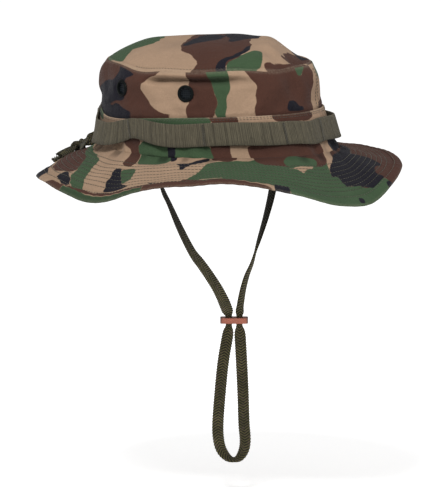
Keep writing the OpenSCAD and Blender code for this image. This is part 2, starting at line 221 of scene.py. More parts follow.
def brim(t, v, h=0.0):
    s, c = sincos(t)
    nr, nf = out_dir(t)
    w = BRIM_W * v
    z = rim(t) * (0.75 * v + 0.25 * v * np.abs(v)) + brim_shape(t, v) \
        + ROOT * np.exp(-np.maximum(v, 0) / 0.06)
    return np.stack(np.broadcast_arrays(-(CROWN_B * s + w * nr), -(CROWN_A * c + w * nf), z + h), -1)


def dome(t, s, d=0.0):
    sn, c = sincos(t)
    k = TIP_K * s
    z = TIP_Z + DOME_H * (1 - s ** DOME_P)
    d_in = d - top_shift(wrap(t)) * s ** 4
    x, y = -(CROWN_B * k - d_in) * sn, -(CROWN_A * k - d_in) * c + 9
    side = x * TURN_C - y * TURN_S
    soft = (0.8 * tip_soft(x, y) + 2 * bump(side, 22, 26) + 2.6 * bump(side, 43, 9) - 4.4 * bump(side, 66, 13)
            - 1.5 * bump(side, -30, 20) + bump(side, -56, 12)) * (1 - smooth(0.9, 1, s)) \
        - seam_sag(wrap(t)) * s ** 8
    folds = smooth(0.6, 0.9, s) * (1 - smooth(0.96, 1, s)) * bump(wrap(t), 16, 26)
    soft = soft + 1.3 * folds * np.sin(np.radians(wrap(t) * 17 + 40 * s))
    return np.stack(np.broadcast_arrays(x, y, z - d + soft - 0.25 * bump(s, 0.975, 0.008)), -1)


# ---------------------------------------------------------------- meshes from grids
def grid_shell(name, outer, inner, keep=None, wrapped=False):
    """A closed shell between two grids of points. keep marks the quads that exist; open edges are walled."""
    n, m = outer.shape[:2]
    cols = n if wrapped else n - 1
    if keep is None:
        keep = np.ones((cols, m - 1), bool)
    size = n * m
    faces, edges = [], {}
    for i in range(cols):
        k = (i + 1) % n
        for j in range(m - 1):
            if not keep[i, j]:
                continue
            q = (i * m + j, k * m + j, k * m + j + 1, i * m + j + 1)
            faces.append(q)
            faces.append(tuple(size + x for x in reversed(q)))
            for a, b in zip(q, q[1:] + q[:1]):
                if (b, a) in edges:
                    del edges[(b, a)]
                else:
                    edges[(a, b)] = True
    for a, b in edges:
        faces.append((b, a, size + a, size + b))
    points = np.concatenate([outer.reshape(-1, 3), inner.reshape(-1, 3)])
    used = np.zeros(len(points), bool)
    used[np.array([x for f in faces for x in f])] = True
    order = np.cumsum(used) - 1
    mesh = bpy.data.meshes.new(name)
    mesh.from_pydata((points[used] * MM).tolist(), [], [tuple(int(order[x]) for x in f) for f in faces])
    obj = bpy.data.objects.new(name, mesh)
    bpy.context.scene.collection.objects.link(obj)
    mesh.shade_smooth()
    return obj, used


def put(obj, used, **fields):
    """Stores one number per grid point, the same on both faces of the shell."""
    for key, values in fields.items():
        both = np.concatenate([values.reshape(-1)] * 2)[used]
        obj.data.attributes.new(key, "FLOAT", "POINT").data.foreach_set("value", both.astype(np.float32))


def turned_out(obj, weld=False):
    """Makes the faces of a closed mesh point outwards; weld joins the points that share a place."""
    import bmesh
    bm = bmesh.new()
    bm.from_mesh(obj.data)
    if weld:
        bmesh.ops.remove_doubles(bm, verts=bm.verts, dist=1e-6)
    bmesh.ops.recalc_face_normals(bm, faces=bm.faces)
    bm.to_mesh(obj.data)
    bm.free()


def mesh_object(name, points, faces, smooth_shade=True):
    mesh = bpy.data.meshes.new(name)
    mesh.from_pydata((np.asarray(points) * MM).tolist(), [], faces)
    obj = bpy.data.objects.new(name, mesh)
    bpy.context.scene.collection.objects.link(obj)
    if smooth_shade:
        mesh.shade_smooth()
    return obj


# ---------------------------------------------------------------- camera
def make_camera():
    aim_right, aim_down, distance = 2.5, -79.0, 4.5
    a, e = math.radians(VIEW_AZ), math.radians(VIEW_EL)
    back = Vector((math.sin(a) * math.cos(e), -math.cos(a) * math.cos(e), math.sin(e)))
    right = Vector((math.cos(a), math.sin(a), 0))
    up = back.cross(right)
    aim = (right * aim_right + up * aim_down) * MM
    data = bpy.data.cameras.new("camera")
    data.sensor_width = 36.0
    data.lens = data.sensor_width * distance / (FRAME_HEIGHT * MM)
    data.dof.use_dof = False
    data.clip_start, data.clip_end = 0.1, 50.0
    cam = bpy.data.objects.new("camera", data)
    bpy.context.scene.collection.objects.link(cam)
    cam.location = aim + back * distance
    cam.rotation_mode = "QUATERNION"
    cam.rotation_quaternion = (-back).to_track_quat("-Z", "Y")
    bpy.context.scene.camera = cam


make_camera()


# ---------------------------------------------------------------- materials
def material(name, rough=0.9, sheen=0.0, specular=0.25):
    mat = bpy.data.materials.new(name)
    mat.use_nodes = True
    shader = mat.node_tree.nodes["Principled BSDF"]
    shader.inputs["Roughness"].default_value = rough
    shader.inputs["Specular IOR Level"].default_value = specular
    shader.inputs["Sheen Weight"].default_value = sheen
    shader.inputs["Sheen Roughness"].default_value = 0.5
    return mat, mat.node_tree, shader


def feed(tree, shader, socket, value):
    tree.links.new(value, shader.inputs[socket])


def number(tree, op, a, b=None, c=None, clamp=False):
    n = tree.nodes.new("ShaderNodeMath")
    n.operation = op
    n.use_clamp = clamp
    for i, v in enumerate((a, b, c)):
        if v is None:
            continue
        if isinstance(v, (int, float)):
            n.inputs[i].default_value = v
        else:
            tree.links.new(v, n.inputs[i])
    return n.outputs[0]


def scaled(tree, a, gain, offset, clamp=False):
    return number(tree, "MULTIPLY_ADD", a, gain, offset, clamp)


def times(tree, a, b):
    return number(tree, "MULTIPLY", a, b)


def plus(tree, a, b):
    return number(tree, "ADD", a, b)


def attribute(tree, name):
    n = tree.nodes.new("ShaderNodeAttribute")
    n.attribute_name = name
    return n.outputs["Fac"]


def colour_mix(tree, fac, a, b, blend="MIX"):
    n = tree.nodes.new("ShaderNodeMix")
    n.data_type = "RGBA"
    n.blend_type = blend
    for socket, v in ((n.inputs[0], fac), (n.inputs[6], a), (n.inputs[7], b)):
        if isinstance(v, (tuple, list)):
            socket.default_value = (*v, 1)
        elif isinstance(v, (int, float)):
            socket.default_value = v
        else:
            tree.links.new(v, socket)
    return n.outputs[2]


def noise(tree, scale, detail=2.0, rough=0.5, vector=None):
    n = tree.nodes.new("ShaderNodeTexNoise")
    n.inputs["Scale"].default_value = scale
    n.inputs["Detail"].default_value = detail
    n.inputs["Roughness"].default_value = rough
    if vector is None:
        vector = tree.nodes.new("ShaderNodeTexCoord").outputs["Object"]
    tree.links.new(vector, n.inputs["Vector"])
    return n.outputs["Fac"]


def bumped(tree, shader, height, distance, strength=1.0, normal=None):
    n = tree.nodes.new("ShaderNodeBump")
    n.inputs["Strength"].default_value = strength
    n.inputs["Distance"].default_value = distance
    tree.links.new(height, n.inputs["Height"])
    if normal is not None:
        tree.links.new(normal, n.inputs["Normal"])
    if shader is not None:
        feed(tree, shader, "Normal", n.outputs[0])
    return n.outputs[0]


def rgb(r, g, b):
    """sRGB 0-255 to linear."""
    return tuple(((v / 255) / 12.92 if v / 255 <= 0.04045 else ((v / 255 + 0.055) / 1.055) ** 2.4)
                 for v in (r, g, b))


TAN, BROWN, GREEN, BLACK = rgb(143, 119, 98), rgb(66, 42, 34), rgb(54, 72, 50), rgb(20, 19, 27)


def thread_weave(tree, along, across, pitch):
    """A twill: fine diagonal ribs over two crossed sets of threads. 0 to 1."""
    twist = plus(tree, along, across)
    rib = number(tree, "SINE", times(tree, twist, 2 * math.pi / pitch))
    weft = number(tree, "SINE", times(tree, across, 2 * math.pi / (pitch * 0.6)))
    return scaled(tree, plus(tree, rib, times(tree, weft, 0.5)), 0.33, 0.5)


def cloth_material(name, camo=True, base=rgb(70, 72, 50)):
    mat, tree, shader = material(name, rough=0.92, sheen=0.04, specular=0.1)
    along, across = attribute(tree, "along"), attribute(tree, "across")
    weave = thread_weave(tree, along, across, 0.62)
    cloud = noise(tree, 45, 3, 0.6)
    grain = noise(tree, 700, 2, 0.6)
    if camo:
        edge = scaled(tree, noise(tree, 260, 3, 0.6), 1.5, -0.75)
        colour = TAN
        for key, ink in (("green", GREEN), ("brown", BROWN), ("black", BLACK)):
            fac = scaled(tree, plus(tree, attribute(tree, key), edge), 1.8, 0.5, True)
            colour = colour_mix(tree, fac, colour, ink)
    else:
        colour = base
    # faded patches, fine heather, painted shade where the shade attribute is set, wear where the cloth stands
    # proud
    tone = scaled(tree, cloud, 0.36, 0.82)
    tone = times(tree, tone, scaled(tree, grain, 0.22, 0.89))
    tone = times(tree, tone, scaled(tree, weave, 0.14, 0.93))
    tone = times(tree, tone, scaled(tree, attribute(tree, "shade"), -1.0, 1.0))
    grey = tree.nodes.new("ShaderNodeCombineColor")
    for i in range(3):
        tree.links.new(tone, grey.inputs[i])
    colour = colour_mix(tree, 1.0, colour, grey.outputs[0], "MULTIPLY")
    wear = times(tree, attribute(tree, "wear"), scaled(tree, grain, 1.6, -0.3, True))
    colour = colour_mix(tree, times(tree, wear, 0.35), colour, rgb(170, 160, 140))
    feed(tree, shader, "Base Color", colour)
    first = bumped(tree, None, weave, 0.00012, 0.7)
    second = bumped(tree, None, grain, 0.0003, 0.5, first)
    third = bumped(tree, None, noise(tree, 32, 3, 0.6), 0.004, 0.5, second)
    bumped(tree, shader, noise(tree, 120, 3, 0.55), 0.0012, 0.7, third)
    rough = scaled(tree, cloud, 0.12, 0.84)
    feed(tree, shader, "Roughness", rough)
    return mat


# ---------------------------------------------------------------- woodland print
# Patches are outlines in the surface's own units; "tan" clears what lies under it.
WALL_PATCHES = [
    ("brown", [(68, 30), (68, 80), (152, 80), (152, 30)]),
    ("green", [(163, 80), (141, 80), (140, 72.5), (118, 72), (110, 74), (100, 80)]),
    ("black", [(117, 70.6), (102, 69), (103, 66), (106, 64), (110, 58), (107, 53.5), (108, 46.4), (110, 43.2),
               (118, 40.7), (123, 38.6), (122, 36.5), (115, 39.6), (110, 36.4), (101, 33), (101, 30), (150, 30),
               (149, 45), (141, 50), (130, 56.5), (120, 57.5), (115, 64.9)]),
    ("tan", [(81, 76), (86, 70.5), (90, 66.8), (96, 61), (97, 55.3), (94, 48.7), (91, 42.3), (88, 38.5),
             (83, 35.4), (76, 34), (70, 34), (70, 39.2), (68, 48.1), (67.5, 56), (69, 65.4), (71, 76)]),
    ("brown", [(71, 76), (60, 76), (58, 66), (55.5, 57.5), (54, 47.5), (55, 33), (70, 33), (70, 39.2),
               (68, 48.1), (67.5, 56), (69, 65.4)]),
    ("green", [(60, 76), (48, 76), (47, 65), (47, 57.7), (48.8, 48), (50, 37), (50, 33), (55, 33),
               (54, 47.5), (55.5, 57.5), (58, 66)]),
    ("brown", [(40, 76), (36, 67.2), (32, 59.8), (33, 49.8), (34, 38), (34, 33), (-9, 33), (-9, 37), (-10, 60),
               (-14, 76)]),
    ("green", [(3.5, 71.5), (0, 73), (-6, 72.5), (-5, 69), (-1, 65), (3, 65.5)]),
    ("black", [(13.5, 45.5), (8, 45.8), (6, 41.6), (2, 40.4), (1, 36.5), (15, 37.7)]),
    ("brown", [(-17.5, 33), (-17.5, 44), (-40, 44), (-40, 33)]),
    ("green", [(-19, 60), (-22, 73), (-60, 73), (-60, 50)]),
]
BAND_PATCHES = [
    ("green", [(150, 30), (150, 38), (133, 38), (131, 30)]),
    ("black", [(165, 30), (165, 38), (141, 38), (144, 30)]),
    ("green", [(106, 30), (107, 38), (59, 38), (57, 30)]),
    ("brown", [(59, 38), (57, 30), (43, 30), (44.5, 38)]),
    ("brown", [(26, 38), (24, 30), (-5, 30), (-4, 38)]),
    ("brown", [(101, -2), (101.5, 5), (108, 9), (108, 14), (96, 14), (97, 5), (96, -2)]),
    ("green", [(97, -2), (97, 14), (59, 14), (58, -2)]),
    ("black", [(80.5, -2), (81, 14), (75.5, 14), (77.5, -2)]),
    ("brown", [(59, -2), (60, 14), (49.5, 14), (51, 5), (50, -2)]),
    ("brown", [(41, -2), (41.5, 6), (40.5, 14), (-4, 14), (-2, 4), (-1, -2)]),
    ("black", [(-12, -2), (-12, 14), (-50, 14), (-50, -2)]),
]
BRIM_PATCHES = [
    ("brown", [(130, 0.2), (120, 0.56), (121, 0.66), (126, 0.68), (133, 0.75), (140, 0.74), (152, 0.64),
               (180, 0.4), (180, 0.1)]),
    ("green", [(129, 0.27), (120, 0.56), (118.5, 0.73), (112.7, 0.91), (105.5, 0.93), (108.5, 0.77),
               (113, 0.53), (116.5, 0.24), (125, 0.15), (150, 0.05), (150, -0.1), (170, -0.1), (150, 0.14)]),
    ("black", [(126, 0.72), (123, 0.68), (118.5, 0.74), (113.5, 0.9), (116, 0.93), (125, 0.87)]),
    ("black", [(178, 0.66), (152, 0.76), (140, 0.82), (134, 0.88), (136, 1.2), (178, 1.2)]),
    ("black", [(102, 0.35), (98, 0.34), (94.8, 0.5), (91.3, 0.7), (86.5, 0.78), (90, 0.85), (97, 0.86),
               (97.5, 0.78), (100, 0.53)]),
    ("green", [(98, 0.34), (92, 0.32), (90, 0.45), (89, 0.62), (91.3, 0.7), (94.8, 0.5)]),
    ("brown", [(102, -0.1), (97, -0.1), (94, 0.27), (101, 0.28)]),
    ("green", [(96, -0.1), (94.5, 0.2), (84, 0.17), (79, 0.09), (76, -0.02), (62, -0.06), (62, -0.1)]),
    ("black", [(80, -0.1), (79, 0.12), (76, 0.08), (76, -0.1)]),
    ("black", [(73.5, 0.25), (69.6, 0.48), (67.6, 0.32), (65, 0.23), (60, -0.03), (66.7, 0.07), (68.5, 0.16),
               (72.8, 0.21)]),
    ("black", [(80, 0.79), (77, 0.86), (74, 0.86), (74, 0.82)]),
    ("green", [(60, 0.1), (62, 0.46), (63.8, 0.65), (65.6, 0.8), (66, 0.9), (30, 0.93), (-5, 1.0), (-6, 0.9),
               (-4.7, 0.83), (-2.8, 0.74), (2.4, 0.7), (4.5, 0.66), (5, 0.57), (4, 0.45), (7, 0.43), (5, 0.3),
               (1, 0.1), (1, -0.1), (37, -0.1), (40, 0.05), (51, 0.07)]),
    ("brown", [(66.5, 0.76), (60, 0.84), (58, 0.93), (67, 0.93)]),
    ("tan", [(61, 0.8), (53, 0.82), (53, 0.85), (61, 0.84)]),
    ("brown", [(60, -0.1), (60, 0.05), (52, 0.08), (48, 0.02), (50, -0.1)]),
    ("brown", [(41, -0.1), (40.5, 0.06), (37, 0.16), (31, 0.2), (20, 0.2), (8, 0.2), (1, 0.14), (-1, 0.04),
               (-3, -0.1)]),
    ("green", [(24, 0.0), (27, 0.1), (24, 0.24), (11, 0.22), (7, 0.1), (11, 0.03), (18, -0.02)]),
    ("tan", [(26.5, 0.27), (20.4, 0.22), (12.2, 0.18), (12.5, 0.23), (18.2, 0.3), (20, 0.4), (21.3, 0.36),
             (23, 0.29)]),
    ("brown", [(-10, -0.1), (-4, 0.2), (0, 0.4), (0, 0.7), (-6, 0.86), (-13.5, 0.95), (-13, 1.2), (-75, 1.2),
               (-75, -0.1)]),
    ("black", [(-9, 0.03), (-50, 0), (-65, 0.3), (-32, 0.13), (-26, 0.2), (-29, 0.42), (-27, 0.55), (-25, 0.7),
               (-19, 0.63), (-14.7, 0.68), (-14, 0.76), (-14, 0.88), (-6, 0.93), (-4.7, 0.83), (-2.8, 0.74),
               (2.4, 0.7), (4.5, 0.66), (5, 0.57), (4, 0.45), (7, 0.43), (4, 0.26), (-3.3, 0.14)]),
]
HEM_PATCHES = [
    ("black", [(180, 0.7), (180, 0.95), (134, 0.95), (134, 0.7)]),
    ("brown", [(128, 0.89), (128, 1.3), (36, 1.3), (36, 0.89)]),
    ("black", [(36, 0.7), (36, 1.3), (31, 1.3), (31, 0.7)]),
    ("green", [(31, 0.7), (31, 1.3), (-13, 1.3), (-13, 0.7)]),
    ("brown", [(-13, 0.7), (-13, 1.3), (-75, 1.3), (-75, 0.7)]),
    ("black", [(-10.5, 0.95), (-10.5, 1.3), (-13.5, 1.3), (-13.5, 0.95)]),
    ("black", [(5, 0.93), (5, 1.0), (2.5, 1.0), (2.5, 0.93)]),
]
# The tip panel's outlines are in millimetres: first towards the picture's right, then towards its viewer
TIP_PATCHES = [
    ("green", [(-95, -15), (-78, 27), (-71, 5), (-66, 9), (-58, 11), (-50, 2), (-42, -25), (-40, -60),
               (-70, -70)]),
    ("brown", [(-27, 8), (-31, 33), (-30, 42), (-23, 50), (-19, 57), (-17, 63), (-18, 68), (-25, 71), (-26, 80),
               (-3, 80), (8, 70), (19, 59), (25, 45), (27, 39), (25, 31), (28, 12), (34, -60), (0, -60),
               (-20, -20)]),
    ("green", [(5, 80), (7, 70), (19, 59), (34, 49), (36, 58), (33, 72), (20, 85)]),
    ("black", [(27, 39), (26, 50), (19, 59), (9, 65), (6, 70), (5, 80), (-3, 80), (-2, 69), (4, 63), (13, 59),
               (21, 48)]),
    ("black", [(-31, 34), (-23, 8), (-6, -30), (7, -8), (1, 13), (-12, 28)]),
    ("black", [(3, -24), (35, -42), (34, 11), (22, 18), (8, 34), (10, 6)]),
    ("brown", [(52, 31), (61, 10), (75, 10), (85, 20), (60, 45), (50, 48), (54, 37)]),
    ("brown", [(36, 66), (40, 70), (60, 60), (80, 30), (66, 42), (50, 56)]),
    ("black", [(62, -50), (69, 3), (76, 3), (70, 17), (66, 15), (58, 0)]),
]
CLUMP = 26.0  # usual size of a random blob, in millimetres
RANK = {"tan": 0, "green": 1, "brown": 2, "black": 3}


def rounded(outline, turns=2):
    for _ in range(turns):
        outline = [q for a, b in zip(outline, outline[1:] + outline[:1])
                   for q in (tuple(0.78 * p + 0.22 * r for p, r in zip(a, b)),
                             tuple(0.22 * p + 0.78 * r for p, r in zip(a, b)))]
    return outline


def inside_by(x, y, outline):
    """Signed distance to a polygon, positive inside, for flat arrays of points."""
    best = np.full(x.shape, 1e9)
    odd = np.zeros(x.shape, bool)
    for (ax, ay), (bx, by) in zip(outline, outline[1:] + outline[:1]):
        ex, ey = bx - ax, by - ay
        q = np.clip(((x - ax) * ex + (y - ay) * ey) / max(ex * ex + ey * ey, 1e-9), 0, 1)
        best = np.minimum(best, (x - ax - q * ex) ** 2 + (y - ay - q * ey) ** 2)
        if ay != by:
            odd ^= ((ay > y) != (by > y)) & (x < ax + (y - ay) * ex / ey)
    return np.where(odd, 1, -1) * np.sqrt(best)


def camo(u, v, patches, scale, seed, known=None):
    """Print fields over a surface: u and v are in the outlines' units, scale turns them into millimetres.
    known is 1 where the listed patches hold, and elsewhere seeded blobs fill the cloth."""
    shape = u.shape
    x, y = u.reshape(-1) * scale[0], v.reshape(-1) * scale[1]
    r = np.random.default_rng(seed)

    def blobs(stretch):
        k = 2 * math.pi / CLUMP
        waves = [(k * r.uniform(0.4, 1.1) * math.cos(a) / stretch, k * r.uniform(0.4, 1.1) * math.sin(a),
                  r.uniform(0, 6.28)) for a in r.uniform(0, 2 * math.pi, 12)]
        return sum(np.cos(p * x + q * y + w) for p, q, w in waves) / math.sqrt(6)

    warp = 1.3 * np.sin(x * 0.31 + 1.7 * np.sin(y * 0.23)) * 0.5 \
        + 0.6 * np.sin(y * 0.47 + 1.1 * np.sin(x * 0.19))
    fields = {"green": (blobs(1.6) - 0.25) * 7, "brown": (blobs(1.6) - 0.25) * 7,
              "black": (blobs(2.0) - 0.85) * 7}
    if known is not None:
        hold = known.reshape(-1)
        for key in fields:
            fields[key] = np.where(hold > 0.5, -9.0, fields[key])
    for colour, outline in patches:
        d = inside_by(x + warp * 0.7, y + warp * 0.5,
                      [(a * scale[0], b * scale[1]) for a, b in rounded(outline)])
        for key in fields:
            if key == colour:
                fields[key] = np.maximum(fields[key], d + 0.15)
            elif RANK[key] > RANK[colour]:
                fields[key] = np.minimum(fields[key], -d)
    return {k: np.clip(f, -9, 9).reshape(shape) for k, f in fields.items()}


cloth = cloth_material("camo_twill")
lining = cloth_material("olive_cotton", camo=False, base=rgb(74, 74, 52))


def finish_piece(obj, mat, nodes=()):
    obj.data.materials.clear()
    obj.data.materials.append(mat)
    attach(obj, "hat")
    if nodes:
        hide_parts(*nodes)
    return obj


def hole_mask(points, centres):
    """True for grid quads away from every hole. centres are (x, y, z, radius) in millimetres."""
    mid = (points[:-1, :-1] + points[1:, 1:]) / 2
    keep = np.ones(mid.shape[:2], bool)
    for *c, r in centres:
        keep &= np.linalg.norm(mid - np.array(c), axis=-1) > r
    return keep


def spot(t, z):
    """Plain point of the wall, as in the CAD, without cloth shape."""
    s, c = sincos(t)
    k = lookup(z, CROWN_K)
    return np.array([-CROWN_B * k * s, -CROWN_A * k * c + lookup(z, CROWN_LEAN), z])


VENT_HOLES = [(*spot(t, VENT_Z), 5.9) for t in VENTS]
CORD_HOLES = [(*spot(t, CORD_Z), 4.9) for t in (CORD_AT, -CORD_AT)]


# ---------------------------------------------------------------- crown
def side_panel(name, node_name, t0):
    ts = np.linspace(t0 + 0.15, t0 + 179.85, 330)
    zs = np.concatenate([np.linspace(0.6, 36, 32)[:-1], np.linspace(36, 71.4, 52)])
    t, z = np.meshgrid(ts, zs, indexing="ij")
    outer, inner = wall(t, z, 0), wall(t, z, -0.8)
    obj, used = grid_shell(name, outer, inner, hole_mask(outer, VENT_HOLES + CORD_HOLES))
    u = wrap(t)
    known = (u > -62) & (u < 152)
    fields = camo(u, np.maximum(z, 34.5), WALL_PATCHES, (WALL_ARC, 1.0), 31, known.astype(float))
    # painted shadow in the dent under the tip's lip and in the tuck at the band's seam
    under_lip = 0.55 * dent_span(u) * bump(z, 64.4, 2.6)
    put(obj, used, along=t * WALL_ARC, across=z, shade=0.25 * bump(z + seam_drop(u), 36.5, 0.7) + under_lip,
        wear=0.5 * bump(z, 71, 1.2) + 0 * t, **fields)
    finish_piece(obj, cloth, [node_name])
    return obj


side_right = side_panel("v_side_right", "crown_side_right", SEAM_T)
side_left = side_panel("v_side_left", "crown_side_left", SEAM_T + 180)


def tip_panel():
    ts = np.arange(0, 360, 1.0)
    ss = np.concatenate([np.linspace(1.0, 0.93, 16)[:-1], np.linspace(0.93, 0.0, 60)])
    t, s = np.meshgrid(ts, ss, indexing="ij")
    tf, zf = np.meshgrid(ts, [66.0, 67.5, 69.0, 70.2], indexing="ij")
    outer = np.concatenate([wall(tf, zf, -0.9), dome(t, s, -0.15)], axis=1)
    inner = np.concatenate([wall(tf, zf, -1.7), dome(t, s, 0.8)], axis=1)
    t, s = np.concatenate([tf, t], axis=1), np.concatenate([0 * tf + 1, s], axis=1)
    obj, used = grid_shell("v_tip", outer, inner, wrapped=True)
    x, y = outer[..., 0], outer[..., 1]
    across = x * TURN_C - y * TURN_S
    near = -x * TURN_S - y * TURN_C
    fields = camo(across, near, TIP_PATCHES, (1.0, 1.0), 33, np.ones(t.shape))
    # painted shade along the tip's seam
    put(obj, used, along=x, across=y, shade=0.1 * bump(s, 0.975, 0.006),
        wear=0.6 * bump(s, 0.995, 0.01), **fields)
    turned_out(obj, weld=True)
    finish_piece(obj, cloth, ["crown_top"])
    return obj


tip = tip_panel()


def wall_band(name, node_name, z0, z1, d0, d1, mat, patches=None, rows=26, seed=35):
    ts = np.arange(0, 360, 0.6) + 196
    zs = np.linspace(z0, z1, rows)
    t, z = np.meshgrid(ts, zs, indexing="ij")
    cut_z = z
    if z1 == BAND_Z:
        z = z0 + (z - z0) * (1 - seam_drop(wrap(t)) / (z1 - z0))
    outer, inner = wall(t, z, d1), wall(t, z, d0)
    mid = hole_mask(np.concatenate([outer, outer[:1]]), CORD_HOLES)
    obj, used = grid_shell(name, outer, inner, mid, wrapped=True)
    u = wrap(t)
    print_z = np.where(cut_z > 20, cut_z, z)
    known = ((u > -52) & (u < 152)).astype(float)
    fields = camo(u, print_z, patches, (WALL_ARC, 1.0), seed, known) if patches else {}
    # painted shadow under the webbing
    under_web = 0.5 * bump(z, 12.5 - 6 * band_drop(u), 4.5) if patches else 0 * t
    put(obj, used, along=u * WALL_ARC, across=z, shade=under_web,
        wear=0.8 * bump(cut_z, z1, 0.8) + 0 * t, **fields)
    finish_piece(obj, mat, [node_name])
    return obj


band = wall_band("v_band", "crown_band", 1.2, BAND_Z, 0.3, 1.0, cloth, BAND_PATCHES)
sweat = wall_band("v_sweatband", "sweatband", 1.5, 32, -2.6, -1.4, lining, rows=18)

# ---------------------------------------------------------------- brim
def brim_ply(name, nodes, h0, h1, patches, seed, puffed):
    ts = np.arange(0, 360, 0.5) + 196
    vs = np.linspace(PLY_V0, PLY_V1, 110)
    t, v = np.meshgrid(ts, vs, indexing="ij")
    relief = puff(v) * puffed
    outer, inner = brim(t, v, h0 + relief), brim(t, v, h1)
    if puffed < 0:
        outer, inner = brim(t, v, h0), brim(t, v, h1 + relief)
    obj, used = grid_shell(name, outer, inner, wrapped=True)
    u = wrap(t)
    known = ((u > -76) & (u < 160)).astype(float) if patches else None
    fields = camo(u, v, patches or [], (BRIM_ARC, BRIM_W), seed, known)
    # painted shade along each stitch row, at the brim's root and in the folds of its foot
    shade = 0.35 * sum(bump(v, r, 0.006) for r in ROWS) + 0.2 * bump(v, 0, 0.05) + 0 * t
    shade = shade + 0.4 * np.clip(-foot_folds(t, 3.0), 0, 1) * bump(v, 0.04, 0.08)
    put(obj, used, along=u * BRIM_ARC, across=v * BRIM_W, shade=shade, wear=0 * t, **fields)
    finish_piece(obj, cloth, nodes)
    return obj


brim_top = brim_ply("v_brim_top", ["brim_top_ply"], 0, -0.7, BRIM_PATCHES, 37, 1)
brim_under = brim_ply("v_brim_bottom", ["brim_bottom_ply", "brim_interlining"], -0.9, LOW_FACE,
                      None, 38, -1)


def hem():
    """The folded edge: its section runs from the upper face round the rim to the lower one."""
    ts = np.arange(0, 360, 0.5) + 196
    out = [(HEM_V, 0.45), (0.872, 0.62), (0.885, 0.38), (0.9, 0.62), (0.93, 0.72), (0.965, 0.68), (0.99, 0.42),
           (1.008, -0.1), (1.015, -0.9), (1.008, -1.7), (0.99, -2.15), (0.965, -2.35), (0.93, -2.4), (0.9, -2.3),
           (0.885, -2.05), (0.872, -2.3), (HEM_V, -2.15)]
    inn = [(HEM_V, 0.12)] * 2 + [(0.885, 0.1), (0.9, 0.15), (0.93, 0.2), (0.965, 0.16), (0.98, 0.1), (0.984, -0.3),
                                (0.986, -0.9), (0.984, -1.45), (0.98, -1.78), (0.965, -1.82), (0.93, -1.85),
                                (0.9, -1.83), (0.885, -1.8), (0.872, -1.8), (HEM_V, -1.8)]
    t = ts[:, None]
    vo, ho = np.array(out).T
    vi, hi = np.array(inn).T
    ripple_h = 0.25 * np.sin(np.radians(t * 97)) * 1.0
    outer, inner = brim(t, vo[None], ho[None] + ripple_h * bump(vo[None], 0.94, 0.05)), \
        brim(t, vi[None], hi[None])
    obj, used = grid_shell("v_hem", outer, inner, wrapped=True)
    u = wrap(t) + 0 * vo[None]
    v = vo[None] + 0 * t
    fields = camo(u, v, BRIM_PATCHES + HEM_PATCHES, (HEM_ARC, BRIM_W), 39,
                  ((u > -76) & (u < 150)).astype(float))
    below = np.broadcast_to(np.arange(len(out))[None] > 8, u.shape)
    rolled = (np.broadcast_to(np.arange(len(out))[None] > 4, u.shape)) & (u > 79) & (u < 116)
    for key, inside in (("green", 9.0), ("brown", -9.0), ("black", -9.0)):
        fields[key] = np.where(rolled, inside, fields[key])
    side = np.cumsum(np.concatenate([[0], np.hypot(np.diff(vo) * BRIM_W, np.diff(ho))]))
    # painted shade on the lower face and on the rolled edge
    put(obj, used, along=u * HEM_ARC, across=side[None] + 0 * t, shade=0.35 * below + 0.3 * rolled,
        wear=0.5 * bump(v, 1.015, 0.01), **fields)
    finish_piece(obj, cloth, ["brim_binding"])
    return obj


hem_piece = hem()


# ---------------------------------------------------------------- stitches
def stitch_line(points, normals, length=2.1, gap=0.7, radius=0.28):
    """Short rounded threads along a dense line of points, lying on the cloth."""
    points = np.asarray(points, float)
    run = np.concatenate([[0], np.cumsum(np.linalg.norm(np.diff(points, axis=0), axis=1))])
    step = length + gap
    starts = np.arange(0, run[-1] - length, step)
    out_p, out_f = [], []
    profile = [(-0.5, 0.35, -0.15), (-0.3, 0.9, 0.12), (0.3, 0.9, 0.12), (0.5, 0.35, -0.15)]
    for s0 in starts:
        c = s0 + length / 2
        mid = np.array([np.interp(c, run, points[:, k]) for k in range(3)])
        a = np.array([np.interp(c - 0.6, run, points[:, k]) for k in range(3)])
        b = np.array([np.interp(c + 0.6, run, points[:, k]) for k in range(3)])
        n = np.array([np.interp(c, run, normals[:, k]) for k in range(3)])
        along = (b - a) / max(np.linalg.norm(b - a), 1e-9)
        side = np.cross(along, n)
        side /= np.linalg.norm(side)
        n = np.cross(side, along)
        base = len(out_p)
        for q, w, lift in profile:
            centre = mid + along * q * length + n * (lift + 0.05)
            for k in range(6):
                an = math.pi / 3 * k
                out_p.append(centre + (side * math.cos(an) + n * math.sin(an)) * radius * w)
        for i in range(3):
            for k in range(6):
                l = (k + 1) % 6
                out_f.append((base + i * 6 + k, base + i * 6 + l, base + i * 6 + 6 + l, base + i * 6 + 6 + k))
        out_f.append(tuple(base + k for k in reversed(range(6))))
        out_f.append(tuple(base + 18 + k for k in range(6)))
    return out_p, out_f


def stitched(name, lines, mat, **sizes):
    points, faces = [], []
    for line, normals in lines:
        p, f = stitch_line(line, normals, **sizes)
        shift = len(points)
        points += p
        faces += [tuple(i + shift for i in q) for q in f]
    obj = mesh_object(name, points, faces)
    turned_out(obj)
    return finish_piece(obj, mat)


def surface_line(f, t, v, h):
    """Points and unit normals along t at one v of a surface function."""
    p = f(t, v, h)
    e = 0.01 if f is brim else 0.3
    along = f(t + 0.3, v, h) - f(t - 0.3, v, h)
    across = f(t, v + e, h) - f(t, v - e, h)
    n = np.cross(along, across)
    n /= np.linalg.norm(n, axis=1)[:, None]
    return p, n


def flecked(name, colour, fleck, scale, detail, depth, strength, **surface):
    """A material of two tones mixed by a fine noise, which is also its relief."""
    mat, tree, shader = material(name, **surface)
    grain = noise(tree, scale, detail, 0.6)
    feed(tree, shader, "Base Color", colour_mix(tree, grain, colour, fleck))
    bumped(tree, shader, grain, depth, strength)
    return mat


def thread_material(name, colour, fleck):
    return flecked(name, colour, fleck, 900, 3, 0.0002, 0.6, rough=0.7, sheen=0.2, specular=0.4)


